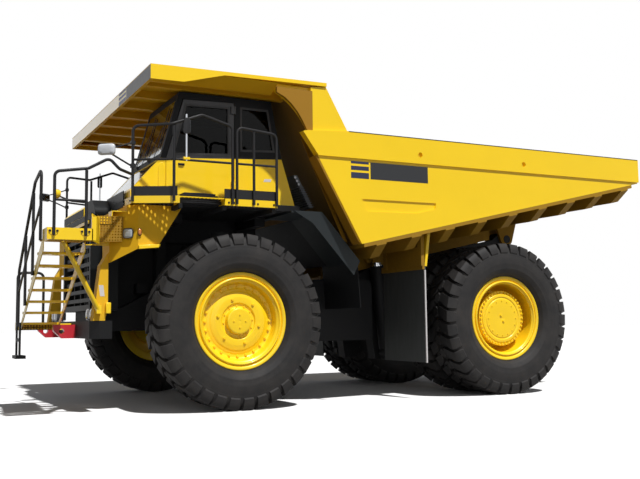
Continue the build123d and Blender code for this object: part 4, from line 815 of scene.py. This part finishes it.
def on_screen(low, high, share, y, out):
    """A point on a sloping screen: a share of the way up it, at a y, standing out from its face."""
    along = (high - low) / np.linalg.norm(high - low)
    flat = low + (high - low) * share + out * np.array([along[1], -along[0]])
    return flat[0], y, flat[1]


# The door's handle and window seals, the screens' faces and wipers, and a pressed arch ahead of the door.
handle = [block((0.785, 0.885), (cab_y - 0.005, cab_y + 0.008), (3.64, 3.674)),
          tube([(0.795, cab_y + 0.022, 3.657), (0.835, cab_y + 0.026, 3.659), (0.875, cab_y + 0.022, 3.657)],
               0.008)]
fitted("door_handle", handle, charcoal_enamel, "charcoal", "cab_door", bevel=0.003)
door_window = [(0.073, 3.85), (0.965, 3.8), (0.77, 4.58), (0.073, 4.6)]
side_window = [(-0.69, 3.96), (-0.12, 3.93), (-0.12, 4.62), (-0.58, 4.62)]
seal_y, seal_depth = cab_y - 0.012, 0.018
fitted("door_window_seal", [seal(door_window, seal_y, seal_depth)], rubber_seal, "black_rubber", "cab_door")
fitted("side_window_seal", [seal(side_window, seal_y, seal_depth)], rubber_seal, "black_rubber")

brow, sill, chin = np.array((0.867, 4.763)), np.array((1.156, 3.731)), np.array((1.601, 3.226))
pane_faces = (-0.012, -0.002)
panes = []
for low, high, margin in ((chin, sill, 0.07), (sill, brow, 0.09)):
    inset = margin / np.linalg.norm(high - low)
    stations = [(inset, pane_faces[0]), (inset, pane_faces[1]), (1 - inset, pane_faces[1]),
                (1 - inset, pane_faces[0])]
    panes.append(prism([on_screen(low, high, share, 0, out)[::2] for share, out in stations], 1, 0.66, 2.02))
fitted("screen_faces", panes, clear_glass, "cab_glass")
wipers = []
for foot_at, blade_at in ((0.85, 1.15), (1.5, 1.86)):
    arm = [on_screen(sill, brow, share, y, 0.03)
           for share, y in ((0.05, foot_at), (0.3, (foot_at + blade_at) / 2), (0.5, blade_at))]
    blade = [on_screen(sill, brow, share, blade_at, 0.012) for share in (0.2, 0.5, 0.8)]
    pivot = on_screen(sill, brow, 0.05, foot_at, 0.008)
    wipers += [tube(arm, 0.006, 8), tube(blade, 0.007, 8), hex_bolts([pivot], (0.96, 0, 0.27), 0.02, 0.03)]
fitted("wipers", wipers, rubber_seal, "black_rubber")

arch = [(1.085, 3.30), (1.19, 3.30), (1.19, 3.58), (1.172, 3.645), (1.1375, 3.67), (1.103, 3.645),
        (1.085, 3.58)]
fitted("pressed_panel", [prism(eased(arch, 0.02), 1, cab_y - 0.004, cab_y + 0.01)], yellow_enamel,
       "yellow_paint", bevel=0.008)
plate_outline = [(-0.62, 3.48), (-0.5, 3.475), (-0.52, 3.52), (-0.64, 3.525)]
fitted("cab_blank_plate", [prism(plate_outline, 1, cab_y - 0.001, cab_y + 0.002)], blank_plate,
       "yellow_paint")

# ---- Seats ------------------------------------------------------------------------------------------
# Two seats of moulded foam under dark woven cloth, with channels sewn across them. The driver's rides on a
# pleated bellows and has a headrest on two posts; the second is bolted to a plain box.


def cushion(middle, size, lean, channels=(), rows=33, columns=48):
    """A crowned cushion: a superellipsoid whose x, y and z go with cos and sin to powers under one, leant
    about y, with sewn channels pressed in as narrow bells across it."""
    v = np.linspace(-pi / 2, pi / 2, rows)[1:-1, None]
    u = np.linspace(0, 2 * pi, columns, endpoint=False)[None]

    def power(value, exponent):
        return np.sign(value) * np.abs(value) ** exponent
    x = power(np.cos(v), 0.45) * power(np.cos(u), 0.4)
    y = power(np.cos(v), 0.45) * power(np.sin(u), 0.4)
    z = power(np.sin(v), 0.55) + 0 * u
    for at in channels:
        z = z * (1 - 0.09 * np.exp(-((y - at) / 0.05) ** 2))
    half = np.asarray(size) / 2
    points = np.stack([x * half[0], y * half[1], z * half[2]], axis=2).reshape(-1, 3)
    points = np.concatenate([points, [(0, 0, -half[2]), (0, 0, half[2])]])
    turn = np.array([[cos(lean), 0, sin(lean)], [0, 1, 0], [-sin(lean), 0, cos(lean)]])
    count = rows - 2
    low, high = count * columns, count * columns + 1
    last = (count - 1) * columns
    faces = [*grid_faces(count, columns, False, True)]
    faces += [(low, (i + 1) % columns, i) for i in range(columns)]
    faces += [(high, last + i, last + (i + 1) % columns) for i in range(columns)]
    return points @ turn.T + middle, faces


# Woven polyester cloth: a soft matt weave with a faint sheen. Its threads are 1.2 mm apart, drawn 8 mm apart
# so that they show through the glass.
woven_cloth, tree, shader, place = new_material("dark_woven_seat_cloth")
warp, weft = (add(tree, "TexWave", {"Scale": 40.0, "Distortion": 1.0, "bands_direction": way},
                  {"Vector": place}).outputs[1] for way in "YX")
threads = add(tree, "Math", {"operation": "MAXIMUM"}, {0: warp, 1: weft}).outputs[0]
cloth = add(tree, "Mix", {"data_type": "RGBA", 6: linear("#2A2B30"), 7: linear("#4A4C54")}, {0: threads})
relief = add(tree, "Bump", {"Strength": 0.4, "Distance": 0.002}, {"Height": threads})
fill(shader, {"Roughness": 0.9, "Sheen Weight": 0.3},
     {"Base Color": cloth.outputs[2], "Normal": relief.outputs[0]})

floor_z = 3.18
driver_y, trainer_y = 1.42, 0.925
back_lean = -0.19
# each cushion is (name, x, y, height over the cab's floor, size, lean, channels)
cushions = [("driver_seat_cushion", -0.14, driver_y, 0.405, (0.53, 0.53, 0.15), -0.05, (-0.45, 0.45)),
            ("driver_seat_back", -0.385, driver_y, 0.73, (0.13, 0.5, 0.56), back_lean, (-0.5, 0.5)),
            ("driver_headrest", -0.465, driver_y, 1.06, (0.09, 0.27, 0.15), back_lean, ()),
            ("trainer_seat_cushion", -0.31, trainer_y, 0.36, (0.4, 0.33, 0.11), 0.0, (0.0,)),
            ("trainer_seat_back", -0.5, trainer_y, 0.66, (0.1, 0.32, 0.46), -0.13, (0.0,))]
for name, x, y, height, size, lean, channels in cushions:
    made = fitted(name, [cushion((x, y, floor_z + height), size, lean, channels)], woven_cloth, "seat_cloth",
                  replaced=["seats"] if name == "driver_seat_cushion" else ())
pleats = [(0.17 + 0.012 * (-1) ** k, 0.03 + 0.03 * k) for k in range(10)]
bellows = [(0.0, 0.0), (0.19, 0.0), (0.19, 0.03), *pleats, (0.16, 0.33), (0.0, 0.33)]
bases = [turned(bellows, (-0.15, driver_y, floor_z), 40, 2, False),
         block((-0.5, -0.13), (0.78, 1.07), (floor_z, floor_z + 0.3))]
bases += [tube([(-0.43, y, floor_z + 0.94), (-0.455, y, floor_z + 1.04)], 0.008, 8)
          for y in (driver_y - 0.07, driver_y + 0.07)]
fitted("seat_bases", bases, grained_abs, "cab_plastic", bevel=0.004)

# ---- Mirrors ----------------------------------------------------------------------------------------
# Moulded shells of pale polyester with silvered glass, on painted tube arms clamped to the rails' front
# posts. The side mirrors ride zinc-plated rods that stand beside the deck's rail.

# Polyester moulding compound: pale, satin and slightly dirty, in 0.1 m clouds.
pale_shell = patterned("moulded_pale_polyester", "TexNoise", {"Scale": 9.0, "Detail": 4.0},
                       ("#D5D8DC", "#B9BCC0"), {"Roughness": 0.35})
# Silvered glass: a clean mirror, smeared here and there.
silvered_glass = patterned("silvered_mirror_glass", "TexNoise", {"Scale": 12.0, "Detail": 4.0}, "#C8CDD2",
                           {"Metallic": 1.0}, rough=(0.02, 0.09))
# Zinc-plated steel: bright, with fingermarks 40 mm across that dull it.
plated_steel = patterned("zinc_plated_steel", "TexNoise", {"Scale": 25.0, "Detail": 4.0}, "#B8BBBF",
                         {"Metallic": 1.0}, rough=(0.22, 0.42))

post_x, post_y = 1.64, 2.393
front_mirror_at = ((2.04, 2.5, 3.715), (-0.8, 0.6), (0.6, 0.8))
front_shell = stacked([(-0.03, 0.2, 0.11, 0.04), (-0.022, 0.245, 0.15, 0.045), (0.012, 0.25, 0.155, 0.05),
                       (0.034, 0.21, 0.12, 0.05), (0.04, 0.14, 0.07, 0.03)])
front_glass = stacked([(-0.034, 0.215, 0.125, 0.04), (-0.029, 0.215, 0.125, 0.04)])
rail_r, infill_r, rod_r, gap = 0.021, 0.017, 0.014, 0.0003
rod_x, rod_y = 0.945, deck_edge + rail_r + gap + infill_r + rod_r + gap
side_mirror_at = ((rod_x, rod_y + 0.012, 4.11), (0, 1), (1, 0))
side_shell = stacked([(-0.045, 0.03, 0.2, 0.012), (-0.035, 0.038, 0.235, 0.016), (0.03, 0.036, 0.235, 0.016),
                      (0.045, 0.02, 0.19, 0.01)])
side_glass = stacked([(-0.047, 0.022, 0.19, 0.01), (-0.043, 0.022, 0.19, 0.01)])
clamp = (post_x - 0.03, post_x + 0.03), (post_y - 0.03, post_y + 0.03)
arms = [tube([(post_x + 0.025, post_y + 0.008, 3.527), (1.84, 2.43, 3.61), (2.03, 2.5, 3.69)], 0.013),
        tube([(post_x + 0.02, post_y + 0.008, 3.86), (1.84, 2.43, 3.79), (2.025, 2.5, 3.74)], 0.01),
        block(*clamp, (3.5, 3.56)), block(*clamp, (3.84, 3.89))]
rod = tube([(rod_x, rod_y, 3.6), (rod_x, rod_y, 3.9), (rod_x, rod_y, 4.28)], 0.0135)
rod_clamp = block((rod_x - 0.05, rod_x + 0.05), (rod_y - 0.03, rod_y + 0.016), (3.615, 3.655))
fitted("front_mirror_shells", [placed(front_shell, *front_mirror_at)], pale_shell, "charcoal", both=True,
       replaced=["mirrors"])
fitted("side_mirror_shells", [placed(side_shell, *side_mirror_at)], charcoal_enamel, "charcoal", both=True)
fitted("mirror_glasses", [placed(front_glass, *front_mirror_at), placed(side_glass, *side_mirror_at)],
       silvered_glass, "hoist_chrome", both=True, smooth=20)
fitted("mirror_arms", arms, charcoal_enamel, "charcoal", both=True)
fitted("mirror_rods", [rod], plated_steel, "hoist_chrome", both=True)
fitted("mirror_clamps", [rod_clamp], yellow_enamel, "yellow_paint", both=True, bevel=0.006)

# ---- Stairs, platform and steps ---------------------------------------------------------------------
# The stairway crosses the front between two folded stringers, up to a platform of punched plate on boxed edge
# beams, held up by a tube from below; two steps lead on to the deck. The rails stand on bolted feet.
refinish(yellow_enamel, "stair_treads")
refinish(chassis_enamel, "hanging_step")
refinish(charcoal_enamel, "front_rails")
near_x, far_x = 2.28, 2.85
inner_y, outer_y, side_y = 1.9, deck_edge, 2.104
platform_z, foot_z, foot_y = 2.465, 1.331, 0.52
top_y = foot_y + 0.254 * 7
beam_low, beam_high = platform_z - 0.045, platform_z + 0.115
stringer_low = foot_z - 0.12
beam_rear, riser_foot = (2.244, 2.61), (2.033, side_y)
bumper_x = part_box("front_bumper")[1][0] - axle_x
stringer = [(-0.1, stringer_low), (foot_y - 0.08, stringer_low), (top_y + 0.06, platform_z - 0.17),
            (top_y + 0.06, beam_low), (top_y - 0.06, beam_low), (foot_y, foot_z), (-0.1, foot_z)]
step_side = [(near_x, beam_low), (2.03, platform_z - 0.02), (2.03, 2.85), (1.84, 2.85), (1.84, 2.42)]
stairway = [prism(stringer, 0, x, x + 0.014) for x in (near_x, far_x - 0.014)]
stairway += [block((bumper_x, near_x + 0.01), (y, y + 0.04), (stringer_low, foot_z - 0.02))
             for y in (-0.06, 0.4)]
stairway += [tube([(2.56, 2.24, platform_z - 0.03), (2.28, 2.083, 1.968), (2.0, 1.925, 1.5)], 0.036, 20),
             block((1.96, 2.03), (1.88, 1.96), (1.44, 1.56)),
             block((near_x, far_x), (-0.1, -0.098), (stringer_low, foot_z)),
             block((beam_rear[0], far_x), (outer_y - 0.04, outer_y), (beam_low, beam_high)),
             block((far_x - 0.04, far_x), (2.3, outer_y - 0.038), (beam_low, beam_high)),
             strip(beam_rear, riser_foot, (beam_low, 2.79), -0.014),
             block((2.2, 2.26), (outer_y - 0.05, outer_y), (beam_low, 2.744)),
             block((1.85, 2.04), (inner_y, side_y), (2.7, 2.712)),
             block((1.65, 1.86), (inner_y, side_y), (2.9, 2.912)),
             block((1.85, 1.862), (inner_y, side_y), (2.7, 2.912)),
             block((2.028, 2.04), (inner_y, side_y), (platform_z - 0.02, 2.712)),
             prism(step_side, 1, inner_y, inner_y + 0.012)]
fitted("stairway", stairway, yellow_enamel, "yellow_paint", bevel=0.003, replaced=["front_stairs"])


def upright(shape):
    """Turns a level punched plate on end, along the truck."""
    points, faces = shape
    return points[:, (0, 2, 1)], faces


# Yellow enamel under dried mud: brown, rough and matt wherever boots and spray reach.
muddied_enamel = enamel("muddied_yellow_enamel", "#A67D12", "#3E3226", roughness=0.7, coat=0.0, dust=0.9)
grating_z = (platform_z - 0.012, platform_z)
grating_x = (near_x - 0.02, far_x - 0.03)
kick_x, kick_z = (near_x + 0.014, far_x - 0.014), (stringer_low, foot_z - 0.036)
grating = [punched(rectangle(grating_x, (inner_y, outer_y - 0.03)), (12, 15), grating_z, 0.016),
           punched([riser_foot, (near_x - 0.018, side_y), (near_x - 0.018, outer_y - 0.045), beam_rear],
                   (5, 10), grating_z, 0.012),
           upright(punched([(1.71, 2.47), (2.03, 2.456), (2.03, 2.831), (1.69, 2.831)], (8, 9),
                           (side_y - 0.01, side_y), 0.0105)),
           upright(punched(rectangle(kick_x, kick_z), (12, 2), (-0.086, -0.08), 0.0165))]
fitted("platform_grating", grating, muddied_enamel, "yellow_paint", smooth=0)

rail_y = 2.65
foot_bolts, rail_feet = [], []
for x in (2.765, 2.345):
    foot = [(x - 0.075, 2.555), (x + 0.075, 2.555), (x + 0.055, 2.50), (x, 2.462), (x - 0.055, 2.50)]
    rail_feet.append(prism(foot, 1, rail_y - 0.002, rail_y + 0.008))
    foot_bolts += [(x + dx, rail_y + 0.008, z) for dx, z in ((-0.048, 2.535), (0.048, 2.535), (0, 2.487))]
fitted("rail_feet", rail_feet, yellow_enamel, "yellow_paint", bevel=0.002)
fitted("rail_foot_bolts", [hex_bolts(foot_bolts, (0, 1, 0), 0.012, 0.014)], charcoal_enamel, "charcoal")

# A round work lamp on a short arm beside the platform's rail; a blank plate and a junction box on the brace.
lamp_pot = [(0.0, -0.03), (0.045, -0.028), (0.062, 0.0), (0.065, 0.035), (0.058, 0.04), (0.0, 0.044)]
fitted("work_lamp", [turned(lamp_pot, (2.69, 2.52, 3.05), 28, 0, False)], yellow_enamel, "yellow_paint")
fitted("work_lamp_arm", [tube([(2.68, 2.52, 3.02), (2.52, 2.58, 2.95), (2.36, 2.655, 2.93)], 0.011)],
       charcoal_enamel, "charcoal")
fitted("brace_plate", [prism([(1.9, 1.69), (1.965, 1.69), (1.985, 1.85), (1.92, 1.85)], 1, 1.879, 1.8825)],
       blank_plate, "yellow_paint")
fitted("junction_box", [block((1.815, 1.89), (1.882, 1.93), (1.44, 1.60))], yellow_enamel, "yellow_paint",
       bevel=0.01)

# ---- Air intake behind the cab ----------------------------------------------------------------------
# A louvred box of galvanised sheet that leans with the cab's rear wall: folded blades on a backing plate,
# and a row of plated screws down its edge.

# Galvanised sheet: grey zinc with spangles, drawn 22 mm wide so that they show.
galvanised = patterned("galvanised_plate", "TexVoronoi", {"Scale": 45.0}, ("#4A4D50", "#62656A"),
                       {"Metallic": 0.7, "Roughness": 0.5})
louvres = []
for z in np.arange(3.13, 3.44, 0.034):
    x = -1.0 - 0.556 * (3.6 - z)
    louvres.append(prism([(x - 0.11, z), (x - 0.01, z), (x, z - 0.018), (x - 0.004, z - 0.022),
                          (x - 0.02, z - 0.005), (x - 0.11, z - 0.005)], 1, 1.6, 2.14))
louvres.append(prism([(-1.03, 3.62), (-1.31, 3.11), (-1.37, 3.11), (-1.09, 3.62)], 1, 1.62, 2.11))
screws = hex_bolts([(-1.06, 2.11, 3.585), (-1.09, 2.11, 3.53), (-1.12, 2.11, 3.475)], (0, 1, 0), 0.014, 0.012)
fitted("intake_screws", [screws], plated_steel, "charcoal", both=True)
fitted("intake_louvres", louvres, galvanised, "grille_grey", both=True)

# ---- Bed --------------------------------------------------------------------------------------------
# The bed is welded from wear-resistant plate, painted outside and scoured bare within. Its side panels' front
# edges are boxed with a flange and a rib, and gussets join the canopy to the headboard.

# Wear plate: polished along the floor's slope by sliding rock, and browned in patches over a metre across.
wear_plate, tree, shader, place = new_material("scoured_wear_plate")
sliding = add(tree, "Mapping", {"Scale": (0.5, 9.0, 9.0)}, {"Vector": place}).outputs[0]
scour = add(tree, "TexNoise", {"Scale": 3.0, "Detail": 8.0, "Roughness": 0.65}, {"Vector": sliding})
scour = scour.outputs[0]
patches = add(tree, "TexNoise", {"Scale": 0.8, "Detail": 5.0}, {"Vector": place})
bare = add(tree, "Mix", {"data_type": "RGBA", 6: linear("#6E6A64"), 7: linear("#A39E96")}, {0: scour})
rust = add(tree, "MapRange", {"From Min": 0.5, "From Max": 0.75}, {0: patches.outputs[0]})
rusted = add(tree, "Mix", {"data_type": "RGBA", 7: linear("#6A4A34")},
             {0: rust.outputs[0], 6: bare.outputs[2]})
rough = add(tree, "MapRange", {"To Min": 0.35, "To Max": 0.6}, {0: scour})
relief = add(tree, "Bump", {"Strength": 0.5, "Distance": 0.004}, {"Height": scour})
fill(shader, {"Metallic": 0.8}, {"Base Color": rusted.outputs[2], "Roughness": rough.outputs[0],
                                 "Normal": relief.outputs[0]})
# Painted shade: yellow enamel darkened to a deep brown stands for the deep shade on the headboard, and a
# lighter brown for the shade on the gussets and the side panels' front flanges beside it.
painted_deep_shade_enamel = enamel("painted_deep_shade_yellow_enamel", "#7A5A14", "#2E2720", roughness=0.7, coat=0.0, dust=0.9)
painted_brown_shade_enamel = enamel("painted_brown_shade_yellow_enamel", "#9C700A", "#5E4218", roughness=0.6, coat=0.0, dust=0.3)
refinish(wear_plate, "bed_floor")
refinish(yellow_enamel, "bed_sides")
# The canopy is in the golden painted shade, and the headboard below it in the deep brown painted shade.
refinish(painted_shade_enamel, "bed_canopy")
refinish(painted_deep_shade_enamel, "bed_headboard")
refinish(muddied_enamel, "bed_underframe", "bed_runners")

# The flange and rib on the side panels' front edges, and the gusset faces, are in the brown painted shade.
edge_top, edge_foot = np.array((-1.16, 3.842)), np.array((-1.919, 2.492))
flange = prism([edge_top, edge_foot + (0.02, 0), edge_foot + (0.055, 0.03), edge_top + (0.04, 0)], 1, 2.47,
               2.7115)
rib = prism([edge_top + (0, 0.3), edge_foot + (0.03, 0.06), edge_foot + (0.11, 0.09),
             edge_top + (0.08, 0.33)], 1, 2.28, 2.3)
fitted("bed_front_flanges", [flange, rib], painted_brown_shade_enamel, "yellow_paint", "bed", both=True, bevel=0.004)
gusset = [(-0.476, 4.764), (-0.61, 4.702), (-0.72, 4.612), (-0.82, 4.501), (-0.91, 4.36), (-1.0, 4.19),
          (-1.07, 4.04), (-1.078, 4.04), (-1.078, 4.845), (-0.476, 4.845)]
fitted("canopy_gusset_faces", [prism(gusset, 1, 2.664, 2.7145)], painted_brown_shade_enamel, "yellow_paint", "bed",
       both=True)
# A painted shadow: a thin charcoal strip along the top edge of each side rail, where a shadow line falls.
rail_shadow_strip = prism([(-1.7, 4.2535), (-7.97, 4.2625), (-7.97, 4.2745), (-1.7, 4.2655)], 1, 2.739, 2.7425)
fitted("bed_rail_painted_shadow", [rail_shadow_strip], charcoal_enamel, "charcoal", "bed", both=True)

# ---- Bed markings -----------------------------------------------------------------------------------
# Blank plates and stripes of coloured vinyl film, pressed on to the side panels and the canopy's front lip,
# which has a fresh coat of gloss enamel behind them.

# Cast vinyl film, black and navy: thin, satin and wiped clean.
black_film = enamel("black_vinyl_film", "#1B1D20", "#6B6872", roughness=0.4, coat=0.1, dust=0.05)
navy_film = enamel("navy_vinyl_film", "#1E2340", "#6B6872", roughness=0.4, coat=0.1, dust=0.05)
# Yellow enamel, freshly sprayed and still clean: as bright as it left the gun.
fresh_enamel = enamel("fresh_yellow_enamel", yellow, roughness=0.2, coat=1.0, dust=0.03)
panel_y, lip_x = 2.712, 1.487
lip_low, lip_high = 4.736, 4.941
side_film, lip_film = (panel_y - 0.001, panel_y + 0.0025), (lip_x - 0.001, lip_x + 0.0025)
side_plate = block((-3.19, -2.096), side_film, (3.53, 3.8))
lip_plate = block(lip_film, (1.4, 2.735), (lip_low + 0.004, lip_high - 0.004))
side_stripes = [block((-2.066, -1.742), side_film, z) for z in ((3.53, 3.623), (3.66, 3.725), (3.763, 3.8))]
lip_stripes = [block(lip_film, (0.944, 1.37), z) for z in ((4.742, 4.805), (4.83, 4.875), (4.9, 4.936))]
fitted("marking_plates", [both_sides(side_plate), lip_plate], black_film, "charcoal", "bed")
fitted("marking_stripes", [both_sides(join(side_stripes)), *lip_stripes], navy_film, "charcoal", "bed")
fitted("canopy_lip_plate", [block((lip_x - 0.001, lip_x + 0.0012), (-2.736, 2.736),
                                  (lip_low + 0.002, lip_high - 0.002))], fresh_enamel, "yellow_paint", "bed")

# ---- Rock guards ------------------------------------------------------------------------------------
# Reinforced rubber sheet hangs from the bed ahead of the rear tyres, its outer edge bound in white tape. The
# hangers' outer posts carry a bright folded edge, and a plate closes the space between the posts.

# Rubber sheet with a fabric inside: dull grey-black, scuffed in upright streaks 80 mm wide.
sheet_rubber = patterned("reinforced_rubber_sheet", "TexNoise",
                         {"Scale": 4.0, "Detail": 7.0, "Roughness": 0.65}, ("#232524", "#3F4140"),
                         {"Roughness": 0.7}, relief=(0.3, 0.004), stretch=(1.0, 3.0, 0.6))
refinish(sheet_rubber, "mudflaps")
flap_low, flap_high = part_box("mudflaps")
flap_x, post_front = flap_low[0] - axle_x, flap_high[0] - axle_x
binding = block((flap_x - 0.003, post_front + 0.003), (flap_high[1] - 0.022, flap_high[1] + 0.003),
                (flap_low[2] - 0.003, flap_high[2] - 0.11))
fitted("flap_binding", [binding], blank_plate, "black_rubber", "bed", both=True)
post_edge = [(post_front, 2.18), (post_front - 0.045, 2.18), (post_front - 0.13, 2.74),
             (post_front - 0.07, 2.74)]
fitted("hanger_edges", [prism(post_edge, 1, 2.41, 2.506)], yellow_enamel, "yellow_paint", "bed", both=True,
       bevel=0.004)
fitted("hanger_plates", [block((post_front + 0.04, post_front + 0.05), (1.4, 2.4), (2.2, 2.5))],
       muddied_enamel, "yellow_paint", "bed", both=True)

# ---- Hoists -----------------------------------------------------------------------------------------
# Three-stage oil cylinders, one on each side of the frame: the barrels wear the chassis enamel, and the two
# inner stages are ground and hard-chromed.
refinish(chassis_enamel, "hoist_barrels")

# Hard chrome: a bright mirror that a trace of oil dims in patches 0.17 m long.
hard_chrome = patterned("hard_chromed_rod", "TexNoise", {"Scale": 6.0, "Detail": 5.0}, "#C3C6CA",
                        {"Metallic": 1.0}, rough=(0.08, 0.25))
refinish(hard_chrome, "hoist_sleeves", "hoist_rods")
